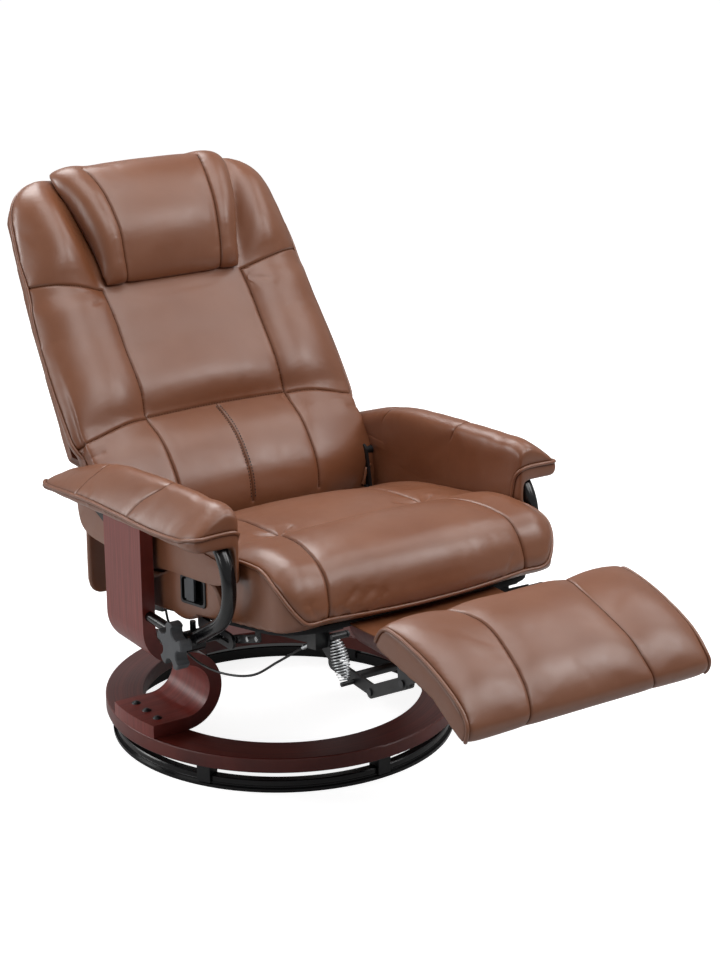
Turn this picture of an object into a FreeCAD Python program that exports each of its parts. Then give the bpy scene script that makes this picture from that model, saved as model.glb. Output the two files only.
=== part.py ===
import FreeCAD, Part
import os
from math import atan2, cos, degrees, hypot, pi, radians, sin, sqrt, tan

# Manual swivel recliner with a fold-out footrest, shown laid back and with the footrest out.
# Millimetres. The chair faces -Y, the sitter's left is +X, the floor is z = 0.
# The origin is on the swivel axis, in the middle of the base ring.

# Fits and clearances shared by the pieces
soft_gap = 0.3          # between an upholstered pad and what it lies on
turn_gap = 0.05         # radial play of a pin in its bore
face_gap = 0.3          # side play between two links on one pin
overrun = 5.0           # how far a cutting tool runs past the piece

# Width of the chair: what lies further out follows the seat board
seat_board_half = 262.0
cushion_overhang = 22.0
arm_clear = 2.5         # between the seat cushion and the arm
seat_half = seat_board_half + cushion_overhang
arm_inner_x = seat_half + arm_clear
plank_in_arm = 51.5     # from the arm's inner side to the plank's outer face
plank_face_x = arm_inner_x + plank_in_arm

# Base: a steel floor ring, six guide shoes and the wooden ring that turns on it
ring_inset = 3.0        # the planks stand this far outside the ring
ring_outer = plank_face_x - ring_inset
ring_width = 72.0
ring_low = 43.0         # height of its underside
ring_thick = 28.0
ring_edge = 3.0         # rounding of its edges
rail_inset = 12.0       # the floor ring lies this far inside the wooden one
rail_outer = ring_outer - rail_inset
rail_width = 22.0
rail_high = 22.0
rail_lip = 4.0          # how far the foot flange stands out under the rail
rail_lip_high = 6.0
rail_groove = 1.8
shoe_count = 6
shoe_first_deg = -28.0
shoe_length = 26.0
shoe_wall = 5.0
shoe_gap = 0.5          # play of the shoe on the rail
shoe_floor_gap = 8.5    # height of the shoe's legs over the floor

# Side planks, bent from plywood: upright, then a curl down to the ring
plank_thick = 25.0
plank_width = 136.0
plank_mid_y = -15.0
curl_depth = 156.0      # how far the curl reaches in from the plank's outer face
curl_nose_x = plank_face_x - curl_depth
curl_radius = 62.5      # middle line of the curl
bend_radius = 59.5      # middle line of the upper bend
curl_slope_deg = 20.0   # slope of the straight between the two bends
plank_edge = 2.0
bolt_inset = 34.0
bolt_x = ring_outer - bolt_inset
bolt_pitch = 40.0
bolt_count = 3
bolt_head_radius = 8.5
bolt_head_high = 4.5
bolt_shank = 4.0

# Arm: board, pad, front tube and the rod between tube and plank
arm_slope = 0.075       # rise of the arm board toward the front
arm_board_high = 496.0  # height of the board's top over the swivel axis
arm_board_thick = 12.0
arm_board_inset = 25.5
arm_board_wide = 50.0
arm_board_inner_x = arm_inner_x + arm_board_inset
arm_board_outer_x = arm_board_inner_x + arm_board_wide
arm_board_front_y = -330.0
arm_board_rear_y = 196.0
arm_wide = 92.5
arm_tip_x = arm_inner_x + arm_wide
arm_crest_share = 0.416  # of the arm's width, from its inner side
arm_crest_x = arm_inner_x + arm_crest_share * arm_wide
arm_pad_high = 70.0     # pad's height over the board's underside, amid its length
arm_pad_draw = 14.0     # how much the rear end is drawn in
arm_drop_thick = 14.0
arm_drop_front_z = 439.0
arm_drop_mid_z = 424.0
arm_drop_rear_z = 464.0
arm_drop_end_y = 62.0
arm_drop_high = 40.0
arm_tip_round = 7.0
tube_in_arm = 28.5      # from the arm's inner side to the tube
tube_x = arm_inner_x + tube_in_arm
tube_radius = 12.5
tube_wall = 2.0
tube_bend_radius = 90.0
tube_bend_y = -259.0
tube_bend_z = 438.0
tube_fall_deg = 32.0    # slope of the tube's lower straight
hub_y = -222.0
hub_z = 307.0
hub_radius = 19.0
hub_inward = 15.0
hub_outward = 19.0
hub_inner_x = tube_x - hub_inward
hub_outer_x = tube_x + hub_outward
rod_radius = 9.5
post_radius = 5.3
post_high = 36.0
rod_offset = 8.8
rod_x = tube_x + rod_offset

# Star knob and the clamp bolt it tightens
knob_lobes = 5
knob_radius = 43.0
knob_waist = 24.0
knob_thick = 24.0
knob_tip_round = 11.0
knob_collar_radius = 15.0
knob_collar_high = 5.0
clamp_bolt_radius = 4.0
clamp_head_radius = 8.5
clamp_head_high = 5.0
clamp_grip = 18.0       # length of bolt inside the knob
spacer_radius = 9.0

# Seat: tilted board, cushion, rails and slide plates
seat_slope = 0.2        # rise of the seat toward the front
seat_front_y = -470.0
seat_front_z = 388.0    # top of the board at its front edge
seat_board_thick = 12.0
seat_board_rear_y = 44.0
seat_depth = seat_board_rear_y - seat_front_y
seat_pad_high = 112.0   # height of the cushion's rear edge over the board
seat_crown = 11.0       # swell amid the seat
seat_push = 17.0        # swell of the front amid the seat
seat_edge_drop = 10.0
seat_tuck_y = -243.0    # line of the cross seam
seat_rear_y = 82.0
seat_rear_slant = 52.0
rail_span = 90.0        # from the board's side to the rail's middle
rail_x = seat_board_half - rail_span
rail_half = 15.0
rail_tall = 30.0
rail_sheet = 3.0
rail_front_y = -452.0
rail_rear_y = 36.0
cross_tube_radius = 11.0
cross_tube_y_share = (0.22, 0.86)
slide_sheet = 5.0
slide_bar_half = 14.0
slide_bar_front_y = -275.0
slide_bar_rear_y = -154.0
slide_neck = 14.0
brace_half = 7.0
brace_sheet = 4.0
brace_screw_shares = (0.5, 0.76, 1.0)
brace_foot_y = -338.0
brace_foot_drop = 14.0
brace_heel_y = -212.0
brace_heel_z = 291.0
screw_radius = 4.5
screw_high = 2.5

# Back: it turns on the seat lugs and on the brackets of the planks
back_lean_deg = 35.7    # lean from upright in the laid-back pose
back_foot_y = 229.0     # point of the back's front plane at the lower cross seam
back_foot_z = 565.0
pillow_low = 264.0      # height of the head pillow's lower edge along the back
pillow_top = 520.0
pillow_half = 188.0
pillow_high = 69.0      # swell of the pillow over the back's front plane
pillow_edge = 8.0
back_wing_out = 49.0    # the back is wider than the seat board by this on each side
back_half = seat_board_half + back_wing_out
back_top = 512.0        # height of the cushion's top along the back
back_swell = 46.0       # swell of the lumbar panel
back_edge = 14.0        # rounding of the cushion's sides
back_board_trim = 11.0  # the board ends this far inside the cushion
back_board_top_share = 0.893
back_pad_rear = -45.0
back_board_thick = 12.0
back_cover_thick = 27.0
back_bottom = -224.0
seat_pivot_y = 112.0
seat_pivot_z = 372.0
crank_radius = 80.0
recline_deg = 25.0
slide_travel = 2 * crank_radius * sin(radians(recline_deg / 2))
hinge_sheet = 5.0
hinge_top_share = 0.5
boss_wall = 3.0
hinge_eye = 14.0
pivot_radius = 5.0
pivot_head_radius = 8.0
pivot_head_high = 2.5
lug_heel_y = -20.0
lug_knee_y = 52.0
lug_half = 7.0
lug_sheet = 3.7
back_board_half = seat_board_half + lug_sheet + face_gap
bracket_sheet = 5.0
bracket_high = 410.0
bracket_half = 16.0
skirt_thick = 12.0
skirt_inset = 10.0
skirt_half = back_board_half - skirt_inset
skirt_low = 213.0
skirt_top = 500.0
skirt_y = 281.0
skirt_corner = 30.0

# Footrest: pad, board, brackets and the folding arms
foot_inset = 20.0       # the footrest is narrower than the seat board by this on each side
foot_half = seat_board_half - foot_inset
foot_board_inset = 22.0
foot_board_thick = 10.0
foot_board_half = foot_half - foot_board_inset
foot_pad_high = 50.0
foot_crown = 14.0
foot_draw = 9.0
foot_rear_y = -664.0
foot_rear_z = 428.0
foot_knee_y = -820.0
foot_knee_z = 398.0
foot_tip_y = -900.0
foot_tip_z = 352.0
foot_pivot_y = -700.0
foot_pivot_z = 372.0
bracket_out = 12.0      # from the rail's outer face
foot_bracket_x = rail_x + rail_half + bracket_out
arm_link_length = 122.0
arm_root_y = -470.0
arm_root_z = 322.0
arm_link_half = 11.0
arm_link_sheet = 5.0
arm_pin_radius = 4.0
cross_bar_share = 0.5
beam_half = 11.0
flap_thick = 4.0
flap_margin = 7.0       # between the flap and the rails
flap_half = rail_x - rail_half - flap_margin
flap_sag = 34.0

# Barrel springs between the rails and the lower arms
spring_turns = 14
spring_wire = 1.0
spring_end_radius = 6.0
spring_mid_radius = 14.0
spring_out = 21.5
spring_x = rail_x + rail_half + spring_out
spring_hook_y = -507.0
spring_hook_z = 386.0
spring_peg_reach = 66.0  # from the lower arm's root pin to the peg
spring_peg_drop = 9.0
peg_radius = 4.0
peg_gap = 0.1

# Release handle in the pod on the sitter's right
pod_thick = 29.7
pod_inner_x = seat_board_half + slide_sheet + face_gap
pod_outer_x = pod_inner_x + pod_thick
pod_front_y = -292.0
pod_rear_y = 30.0
pod_low_z = 306.0
pod_high = 116.0
pod_notch_room = 8.0    # around the slide plate
pod_edge = 4.0
bezel_y = -196.0
bezel_z = 386.0
bezel_half_y = 43.0
bezel_half_z = 27.0
bezel_rim = 5.0
bezel_tilt = 0.16       # fall of its edges toward the rear, per length
bezel_out = 2.5
bezel_deep = 16.0
paddle_gap = 0.8
paddle_thick = 4.0
paddle_share = 0.5
paddle_heel = 6.0         # the blade ends this far ahead of its pin, clear of the cup as it swings out
paddle_pin_radius = 2.0
cable_radius = 2.2
ferrule_radius = 4.0
ferrule_length = 26.0
latch_y = -425.0
latch_half = 11.0

# Cable from the handle to the latch, outermost points chosen along its real route
cable_points = [(-275.0, -52.0, 300.0), (-272.0, -66.0, 256.0), (-258.0, -170.0, 222.0),
                (-240.0, -292.0, 250.0), (-206.0, -402.0, 330.0)]
cable_bend = 34.0

os.makedirs("parts", exist_ok=True)
X = FreeCAD.Vector(1, 0, 0)
Y = FreeCAD.Vector(0, 1, 0)
Z = FreeCAD.Vector(0, 0, 1)
origin = FreeCAD.Vector(0, 0, 0)


# Shared drawing helpers
def vec(x, y, z):
    return FreeCAD.Vector(x, y, z)


def save(name, shape):
    solids = [s if s.Volume > 0 else s.reversed() for s in shape.Solids]
    for s in solids:
        if not s.isValid():
            print("not valid:", name)
    out = solids[0] if len(solids) == 1 else Part.makeCompound(solids)
    out.exportStep("parts/" + name + ".step")
    return out


def mirrored(shape):
    return shape.mirror(origin, X)


def both(right):
    return Part.makeCompound([right, mirrored(right)])


def save_pair(name, right):
    save(name + "_right", right)
    save(name + "_left", mirrored(right))


def trace(at, start, steps):
    """A closed wire: a step is a point for a line, or (mid, end) for an arc."""
    edges = []
    here = at(*start)
    for step in steps:
        if isinstance(step[0], tuple):
            end = at(*step[1])
            edges.append(Part.Arc(here, at(*step[0]), end).toShape())
        else:
            end = at(*step)
            edges.append(Part.makeLine(here, end))
        here = end
    return Part.Wire(edges)


def side_view(x):
    return lambda y, z: vec(x, y, z)


def front_view(y):
    return lambda x, z: vec(x, y, z)


def plate_x(wire_at, x0, x1):
    """Sheet cut to a side view outline and lying between two x values."""
    return Part.Face(wire_at(side_view(x0))).extrude(vec(x1 - x0, 0, 0))


def rod_x_at(y, z, radius, x0, x1):
    return Part.makeCylinder(radius, abs(x1 - x0), vec(min(x0, x1), y, z), X)


def rod_between(a, b, radius):
    return Part.makeCylinder(radius, (b - a).Length, a, b - a)


def box_between(low, high):
    return Part.makeBox(high[0] - low[0], high[1] - low[1], high[2] - low[2], vec(*low))


def slot_outline(a, b, half):
    """Side view outline with round ends about the points a and b."""
    along = (b[0] - a[0], b[1] - a[1])
    length = hypot(*along)
    u = (along[0] / length, along[1] / length)
    n = (-u[1] * half, u[0] * half)
    start = (a[0] + n[0], a[1] + n[1])
    steps = [(b[0] + n[0], b[1] + n[1]),
             ((b[0] + u[0] * half, b[1] + u[1] * half), (b[0] - n[0], b[1] - n[1])),
             (a[0] - n[0], a[1] - n[1]),
             ((a[0] - u[0] * half, a[1] - u[1] * half), start)]
    return lambda at: trace(at, start, steps)


def link(a, b, half, x0, x1, bores=()):
    """Flat link between two side view points; a bore is (point, radius)."""
    body = plate_x(slot_outline(a, b, half), x0, x1)
    for point, radius in bores:
        body = body.cut(rod_x_at(point[0], point[1], radius, x0 - overrun, x1 + overrun))
    return body


def loft(wires, ruled=False):
    return Part.makeLoft(wires, True, ruled)


def polar(centre, radius, angle_deg):
    return (centre[0] + radius * cos(radians(angle_deg)),
            centre[1] + radius * sin(radians(angle_deg)))


# Base
def floor_ring():
    inner = rail_outer - rail_width
    mid = rail_high / 2
    at = lambda r, z: vec(r, 0, z)
    profile = trace(at, (inner, 0), [
        (rail_outer, 0),
        (rail_outer, rail_lip_high),
        (rail_outer - rail_lip, rail_lip_high),
        (rail_outer - rail_lip, mid - rail_groove / 2),
        ((rail_outer - rail_lip - rail_groove, mid), (rail_outer - rail_lip, mid + rail_groove / 2)),
        (rail_outer - rail_lip, rail_high - rail_groove),
        (rail_outer - rail_lip - rail_groove, rail_high),
        (inner + rail_groove, rail_high),
        (inner, rail_high - rail_groove),
        (inner, 0)])
    return Part.Face(profile).revolve(origin, Z, 360)


def around(shape, count, first_deg):
    return Part.makeCompound([shape.copy().rotate(origin, Z, first_deg + i * 360.0 / count)
                              for i in range(count)])


def guide_shoes():
    outer = rail_outer - rail_lip + shoe_gap + shoe_wall
    inner = rail_outer - rail_width - shoe_gap - shoe_wall
    half = shoe_length / 2
    block = box_between((inner, -half, shoe_floor_gap), (outer, half, ring_low))
    hollow = Part.makeCylinder(outer - shoe_wall, rail_high + shoe_gap, origin)
    hollow = hollow.cut(Part.makeCylinder(inner + shoe_wall, rail_high + shoe_gap, origin))
    return around(block.cut(hollow), shoe_count, shoe_first_deg)


def wood_ring():
    inner = ring_outer - ring_width
    ring = Part.makeCylinder(ring_outer, ring_thick, vec(0, 0, ring_low))
    ring = ring.cut(Part.makeCylinder(inner, ring_thick + overrun, vec(0, 0, ring_low)))
    circles = [e for e in ring.Edges if hypot(e.Vertexes[0].X, e.Vertexes[0].Y) > inner / 2
               and len(e.Vertexes) == 1]
    return ring.makeFillet(ring_edge, circles)


# The plank's middle line in front view, from the top down to the ring
def plank_line():
    half = plank_thick / 2
    upright_x = -(plank_face_x - half)
    curl_x = -(curl_nose_x + curl_radius + half)
    curl_z = ring_low + ring_thick + half + curl_radius
    curl_start = 90 - curl_slope_deg
    a = polar((curl_x, curl_z), curl_radius, curl_start)
    bend_x = upright_x + bend_radius
    b_x = bend_x + bend_radius * cos(radians(270 - curl_slope_deg))
    b_z = a[1] + (a[0] - b_x) * tan(radians(curl_slope_deg))
    bend_z = b_z - bend_radius * sin(radians(270 - curl_slope_deg))
    return upright_x, (bend_x, bend_z), (curl_x, curl_z)


def arm_board_top(y):
    return arm_board_high - arm_slope * y


def arm_board_low(y):
    return arm_board_top(y) - arm_board_thick


def over_board(x0, x1):
    """Block that takes in everything above the arm board's underside."""
    y0, y1 = 2 * arm_board_front_y, 2 * arm_board_rear_y
    wire = lambda at: trace(at, (y0, arm_board_low(y0)), [
        (y1, arm_board_low(y1)), (y1, 2 * arm_board_high), (y0, 2 * arm_board_high),
        (y0, arm_board_low(y0))])
    return plate_x(wire, x0, x1)


def side_plank():
    half = plank_thick / 2
    upright_x, bend, curl = plank_line()
    bend_end = 270 - curl_slope_deg
    curl_start = 90 - curl_slope_deg
    top = arm_board_top(arm_board_front_y)
    foot_z = ring_low + ring_thick
    front = plank_mid_y - plank_width / 2
    bend_mid = (180 + bend_end) / 2
    curl_mid = (curl_start - 90) / 2
    small, large = bend_radius - half, bend_radius + half
    inside, outside = curl_radius - half, curl_radius + half
    wire = trace(front_view(front), (upright_x - half, top), [
        (upright_x - half, bend[1]),
        (polar(bend, large, bend_mid), polar(bend, large, bend_end)),
        polar(curl, inside, curl_start),
        (polar(curl, inside, curl_mid), polar(curl, inside, -90)),
        (-ring_outer - overrun, foot_z + plank_thick),
        (-ring_outer - overrun, foot_z),
        (curl[0], foot_z),
        (polar(curl, outside, curl_mid), polar(curl, outside, curl_start)),
        polar(bend, small, bend_end),
        (polar(bend, small, bend_mid), (upright_x + half, bend[1])),
        (upright_x + half, top),
        (upright_x - half, top)])
    plank = Part.Face(wire).extrude(vec(0, plank_width, 0))
    plank = plank.cut(over_board(-plank_face_x - overrun, 0))
    reach = Part.makeCylinder(ring_outer, foot_z + plank_thick + overrun, origin)
    foot = box_between((-ring_outer - 2 * overrun, front - overrun, foot_z - overrun),
                       (-bolt_x, front + plank_width + overrun, foot_z + plank_thick + overrun))
    plank = plank.cut(foot.cut(reach))
    x, bores = -bolt_x, []
    for i in range(bolt_count):
        y = plank_mid_y + (i - (bolt_count - 1) / 2) * bolt_pitch
        bores.append(Part.makeCylinder(bolt_shank + turn_gap, 2 * plank_thick, vec(x, y, foot_z - overrun)))
    return plank.cut(Part.makeCompound(bores))


def plank_bolts():
    head_z = ring_low + ring_thick + plank_thick
    bolts = []
    for i in range(bolt_count):
        y = plank_mid_y + (i - (bolt_count - 1) / 2) * bolt_pitch
        shank = Part.makeCylinder(bolt_shank, plank_thick, vec(-bolt_x, y, head_z - plank_thick))
        dome_radius = (bolt_head_radius ** 2 + bolt_head_high ** 2) / (2 * bolt_head_high)
        dome = Part.makeSphere(dome_radius, vec(-bolt_x, y, head_z + bolt_head_high - dome_radius))
        cap = Part.makeCylinder(bolt_head_radius, bolt_head_high, vec(-bolt_x, y, head_z))
        bolts.append(shank.fuse(cap.common(dome)))
    return Part.makeCompound(bolts)


# Arm
def arm_board():
    top, low = arm_board_top, arm_board_low
    wire = lambda at: trace(at, (arm_board_front_y, low(arm_board_front_y)), [
        (arm_board_rear_y, low(arm_board_rear_y)), (arm_board_rear_y, top(arm_board_rear_y)),
        (arm_board_front_y, top(arm_board_front_y)), (arm_board_front_y, low(arm_board_front_y))])
    return plate_x(wire, -arm_board_outer_x, -arm_board_inner_x)


# Arm pad sections from front to rear, as shares of the board's length, the pad's height and the draw:
# place along, crest, tip, draw at the ends
arm_pad_shares = [
    (-0.0304, 0.7864, 0.3436, 0.643),
    (-0.0038, 0.93, 0.3443, 0.107),
    (0.0856, 1.0232, 0.2375, 0.0),
    (0.1806, 1.0482, 0.1625, 0.0),
    (0.2852, 1.05, 0.1786, 0.0),
    (0.3992, 1.0571, 0.2143, 0.0),
    (0.5133, 1.05, 0.25, 0.0),
    (0.6274, 1.0286, 0.2714, 0.0),
    (0.7414, 0.9357, 0.2786, 0.0),
    (0.8555, 0.7714, 0.2429, 0.0),
    (0.9601, 0.5589, 0.1875, 0.071),
    (1.0494, 0.3664, 0.1236, 0.286),
    (1.0951, 0.235, 0.0779, 1.0)]


def arm_pad():
    wires = []
    drop = arm_drop_front_z - arm_drop_high
    length = arm_board_rear_y - arm_board_front_y
    for along, crest_share, tip_share, draw_share in arm_pad_shares:
        y = arm_board_front_y + along * length
        crest = arm_board_low(y) + crest_share * arm_pad_high
        tip = arm_board_low(y) + tip_share * arm_pad_high
        draw = draw_share * arm_pad_draw
        rim = arm_board_low(y) + soft_gap
        out = -(arm_tip_x - draw)
        inn = -(arm_inner_x + draw / 2)
        back = -(arm_inner_x + arm_drop_thick)
        turn = arm_drop_thick
        shoulder = (-(arm_crest_x + arm_tip_x - draw) / 2, (crest + tip) / 2 + arm_tip_round / 2)
        wires.append(trace(front_view(y), (back, drop), [
            (inn, drop),
            (inn, crest - turn),
            ((inn - turn * 0.35, crest - turn * 0.28), (-arm_crest_x, crest)),
            (shoulder, (out, tip)),
            ((out - arm_tip_round * 0.1, (tip + rim) / 2), (out + arm_tip_round * 0.8, rim)),
            (back, rim),
            (back, drop)]))
    pad = loft(wires)
    f, m, r = arm_board_front_y - 4 * overrun, arm_drop_end_y, arm_board_rear_y + arm_drop_high
    low, mid, high = arm_drop_front_z, arm_drop_mid_z, arm_drop_rear_z
    k = (high - mid) / 2
    below = plate_x(lambda at: trace(at, (f, low - arm_drop_high), [
        (r + arm_drop_high, low - arm_drop_high), (r + arm_drop_high, high), (m + 2 * k, high),
        ((m + k * 0.6, high - k * 0.6), (m, mid + k)),
        ((m - k * 0.3, mid + k * 0.3), (m - k, mid)),
        (arm_board_front_y + arm_drop_high, low), (f, low + overrun), (f, low - arm_drop_high)]),
        -arm_tip_x, -arm_inner_x + arm_drop_thick)
    pad = pad.cut(below)
    grow = soft_gap
    y0, y1 = arm_board_front_y - grow, arm_board_rear_y + grow
    pocket = plate_x(lambda at: trace(at, (y0, arm_board_low(y0) - overrun), [
        (y1, arm_board_low(y1) - overrun), (y1, arm_board_top(y1) + grow),
        (y0, arm_board_top(y0) + grow), (y0, arm_board_low(y0) - overrun)]),
        -arm_board_outer_x - grow, -arm_board_inner_x + grow)
    return pad.cut(pocket)


def tube_path():
    low_deg = 270 - tube_fall_deg
    centre = (tube_bend_y, tube_bend_z)
    tangent = polar(centre, tube_bend_radius, low_deg)
    rise = arm_board_low(arm_board_front_y) + tube_radius - tube_bend_z
    top_deg = 180 - degrees(atan2(rise, sqrt(tube_bend_radius ** 2 - rise ** 2)))
    top = polar(centre, tube_bend_radius, top_deg)
    mid = polar(centre, tube_bend_radius, (top_deg + low_deg) / 2)
    run = (hub_y - tangent[0]) / cos(radians(tube_fall_deg))
    end = (hub_y, tangent[1] - run * sin(radians(tube_fall_deg)))
    return top, mid, tangent, end


def arm_tube():
    """Front tube, hub, stay rod and spacer, welded into one piece."""
    top, mid, tangent, end = tube_path()
    at = side_view(-tube_x)
    arc = Part.Arc(at(*top), at(*mid), at(*tangent)).toShape()
    path = Part.Wire([arc, Part.makeLine(at(*tangent), at(*end))])
    heading = arc.tangentAt(arc.FirstParameter)
    shells = []
    for r in (tube_radius, tube_radius - tube_wall):
        circle = Part.Wire(Part.makeCircle(r, at(*top), heading))
        shells.append(path.makePipeShell([circle], True, False))
    tube = shells[0].cut(shells[1])
    front = plank_mid_y - plank_width / 2
    rod = Part.makeCylinder(rod_radius, front - hub_y, vec(-rod_x, hub_y, hub_z), Y)
    hub = rod_x_at(hub_y, hub_z, hub_radius, -hub_outer_x, -hub_inner_x)
    spacer_end = seat_board_half + slide_sheet + face_gap
    spacer = rod_x_at(hub_y, hub_z, spacer_radius, -hub_inner_x, -spacer_end)
    post = Part.makeCylinder(post_radius, post_high, vec(-tube_x, hub_y, hub_z))
    whole = tube.cut(hub).fuse([rod, hub, spacer, post])
    whole = whole.cut(rod_x_at(hub_y, hub_z, clamp_bolt_radius, -hub_outer_x - overrun,
                               -spacer_end + overrun))
    return whole.cut(over_board(-arm_board_outer_x, -arm_inner_x))


# Star knob and its bolt
def knob_outline(x, trim):
    at, hub = side_view(x), (hub_y, hub_z)
    pitch = 360.0 / knob_lobes
    half_tip = degrees(knob_tip_round / knob_radius)
    shoulder = knob_radius - knob_tip_round / 4 - trim
    start = polar(hub, shoulder, 90 - half_tip)
    steps = []
    for i in range(knob_lobes):
        mid = 90 + i * pitch
        steps.append((polar(hub, knob_radius - trim, mid), polar(hub, shoulder, mid + half_tip)))
        end = start if i == knob_lobes - 1 else polar(hub, shoulder, mid + pitch - half_tip)
        steps.append((polar(hub, knob_waist - trim, mid + pitch / 2), end))
    return trace(at, start, steps)


def star_knob():
    inner = -hub_outer_x - face_gap
    back, front = inner - knob_collar_high, inner - knob_collar_high - knob_thick
    bevel = knob_tip_round / 5
    collar = rod_x_at(hub_y, hub_z, knob_collar_radius, inner, back)
    body = loft([knob_outline(back, bevel), knob_outline(back - bevel, 0)], True)
    body = body.fuse([loft([knob_outline(back - bevel, 0), knob_outline(front + bevel, 0)], True),
                      loft([knob_outline(front + bevel, 0), knob_outline(front, bevel)], True)])
    bore = rod_x_at(hub_y, hub_z, clamp_bolt_radius + turn_gap, inner + overrun, -hub_outer_x - clamp_grip)
    return body.fuse(collar).cut(bore).removeSplitter()


def clamp_bolt():
    head_face = seat_board_half - face_gap
    head = rod_x_at(hub_y, hub_z, clamp_head_radius, -head_face, -head_face + clamp_head_high)
    shank = rod_x_at(hub_y, hub_z, clamp_bolt_radius, -head_face, -hub_outer_x - clamp_grip + face_gap)
    return head.fuse(shank)


# Seat
def seat_top(y):
    """Height of the seat board's top face."""
    return seat_front_z - seat_slope * (y - seat_front_y)


def seat_low(y):
    return seat_top(y) - seat_board_thick


# Seat cushion stations outward from the middle, as shares of half width, crown, push and drop
seat_station_shares = [
    (0.0, 1.0, 1.0, 0.0),
    (0.2289, 0.909, 0.882, 0.0),
    (0.4577, 0.636, 0.529, 0.0),
    (0.6162, 0.182, 0.176, 0.0),
    (0.7042, -0.091, 0.0, 0.0),
    (0.7923, 0.182, 0.059, 0.1),
    (0.9085, 0.0, -0.118, 0.4),
    (1.0282, -0.455, -0.471, 1.0)]
seat_corner_share = 0.803    # where the rounding of the front corners begins
seat_corner_run_share = 0.0875

# Side view of the seat cushion from the underside's front edge over the nose to the tuck:
# shares of the seat's depth and of the pad's height
seat_side_shares = {
    "toe": (0.0272, 0.0), "nose": (-0.0175, 0.143), "front": (-0.0156, 0.4375),
    "brow": (0.0136, 0.741), "top": (0.0817, 0.955), "crest": (0.2432, 0.991),
    "tuck": (0.4416, 0.759), "dip": (0.7656, 0.545)}


def seat_section(x_share, crown_share, push_share, drop_share):
    rear = seat_rear_y
    crown, push, drop = crown_share * seat_crown, push_share * seat_push, drop_share * seat_edge_drop
    base = lambda y: seat_top(y) + soft_gap

    def point(name, forward=0.0, lift=0.0):
        along, height = seat_side_shares[name]
        return seat_front_y + along * seat_depth - forward, seat_front_z + height * seat_pad_high + lift

    toe_y = point("toe", push / 2)[0]
    wire = trace(side_view(x_share * seat_half), (rear - seat_rear_slant, base(rear - seat_rear_slant)), [
        (toe_y, base(toe_y)),
        (point("nose", push), point("front", push)),
        (point("brow", push, (crown - drop) / 2), point("top", push / 3, crown - drop)),
        (point("crest", 0.0, crown - drop), (seat_tuck_y, point("tuck")[1] - drop)),
        (((seat_tuck_y + rear) / 2, point("dip")[1] + crown - drop),
         (rear, seat_top(rear) + seat_pad_high + crown / 2 - drop)),
        (rear - seat_rear_slant, base(rear - seat_rear_slant))])
    return wire


def seat_plan(half):
    """Upright prism with the seat's outline seen from above."""
    x, y = seat_corner_share * half, seat_front_y + seat_corner_run_share * seat_depth
    front = seat_front_y - seat_push
    mid = (half * 0.958, y - (y - front) * 0.62)
    bend = (mid, (half, y))
    at = lambda x, y: vec(x, y, 0)
    wire = trace(at, (half, 2 * seat_rear_y), [
        (-half, 2 * seat_rear_y), (-half, y),
        ((-mid[0], mid[1]), (-x, front)),
        (-x, 1.2 * front), (x, 1.2 * front), (x, front), bend, (half, 2 * seat_rear_y)])
    return Part.Face(wire).extrude(vec(0, 0, 2 * seat_front_z))


def seat_cushion():
    right = [(-s[0],) + s[1:] for s in reversed(seat_station_shares)]
    stations = right + seat_station_shares[1:]
    body = loft([seat_section(*s) for s in stations]).common(seat_plan(seat_half))
    x0 = -seat_half - overrun
    grown = pod_outline(side_view(x0)).makeOffset2D(soft_gap, 2)
    pocket = Part.Face(grown).extrude(vec(-pod_inner_x + soft_gap - x0, 0, 0))
    step = bezel_half_z
    lower = [pocket.translated(vec(0, 0, -i * step)) for i in range(3)]
    return body.cut(lower[0].fuse(lower[1:]))


def seat_board():
    y0, y1 = seat_front_y + seat_board_thick, seat_board_rear_y
    wire = lambda at: trace(at, (y0, seat_low(y0)), [
        (y1, seat_low(y1)), (y1, seat_top(y1)), (y0, seat_top(y0)), (y0, seat_low(y0))])
    return plate_x(wire, -seat_board_half, seat_board_half)


def seat_rail():
    y0, y1 = rail_front_y, rail_rear_y
    outer = lambda at: trace(at, (y0, seat_low(y0) - rail_tall), [
        (y1, seat_low(y1) - rail_tall), (y1, seat_low(y1)), (y0, seat_low(y0)),
        (y0, seat_low(y0) - rail_tall)])
    y2, y3 = y0 - overrun, y1 + overrun
    hollow = lambda at: trace(at, (y2, seat_low(y2) - rail_tall + rail_sheet), [
        (y3, seat_low(y3) - rail_tall + rail_sheet), (y3, seat_low(y3) - rail_sheet),
        (y2, seat_low(y2) - rail_sheet), (y2, seat_low(y2) - rail_tall + rail_sheet)])
    rail = plate_x(outer, -rail_x - rail_half, -rail_x + rail_half)
    rail = rail.cut(plate_x(hollow, -rail_x - rail_half + rail_sheet, -rail_x + rail_half + overrun))
    nose_z = seat_low(y0) - rail_tall / 2
    lug_y = y0 + rail_tall
    lug = link((lug_y, seat_low(lug_y) - arm_link_half - rail_sheet), (arm_root_y, arm_root_z),
               arm_link_half, -rail_x - rail_half, -rail_x - rail_half + rail_sheet)
    hook_y, hook_z = spring_hook_y, spring_hook_z
    horn = link((y0 + rail_sheet * 2, nose_z), (hook_y, hook_z), rail_sheet * 2,
                -rail_x - rail_half, -rail_x - rail_half + rail_sheet)
    hook = rod_x_at(hook_y, hook_z, peg_radius, -rail_x - rail_half, -spring_x - 2 * peg_radius)
    outside = -rail_x - rail_half
    bore = rod_x_at(arm_root_y, arm_root_z, arm_pin_radius, outside - overrun, outside + overrun)
    return rail.fuse([lug, horn, hook]).cut(bore)


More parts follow.
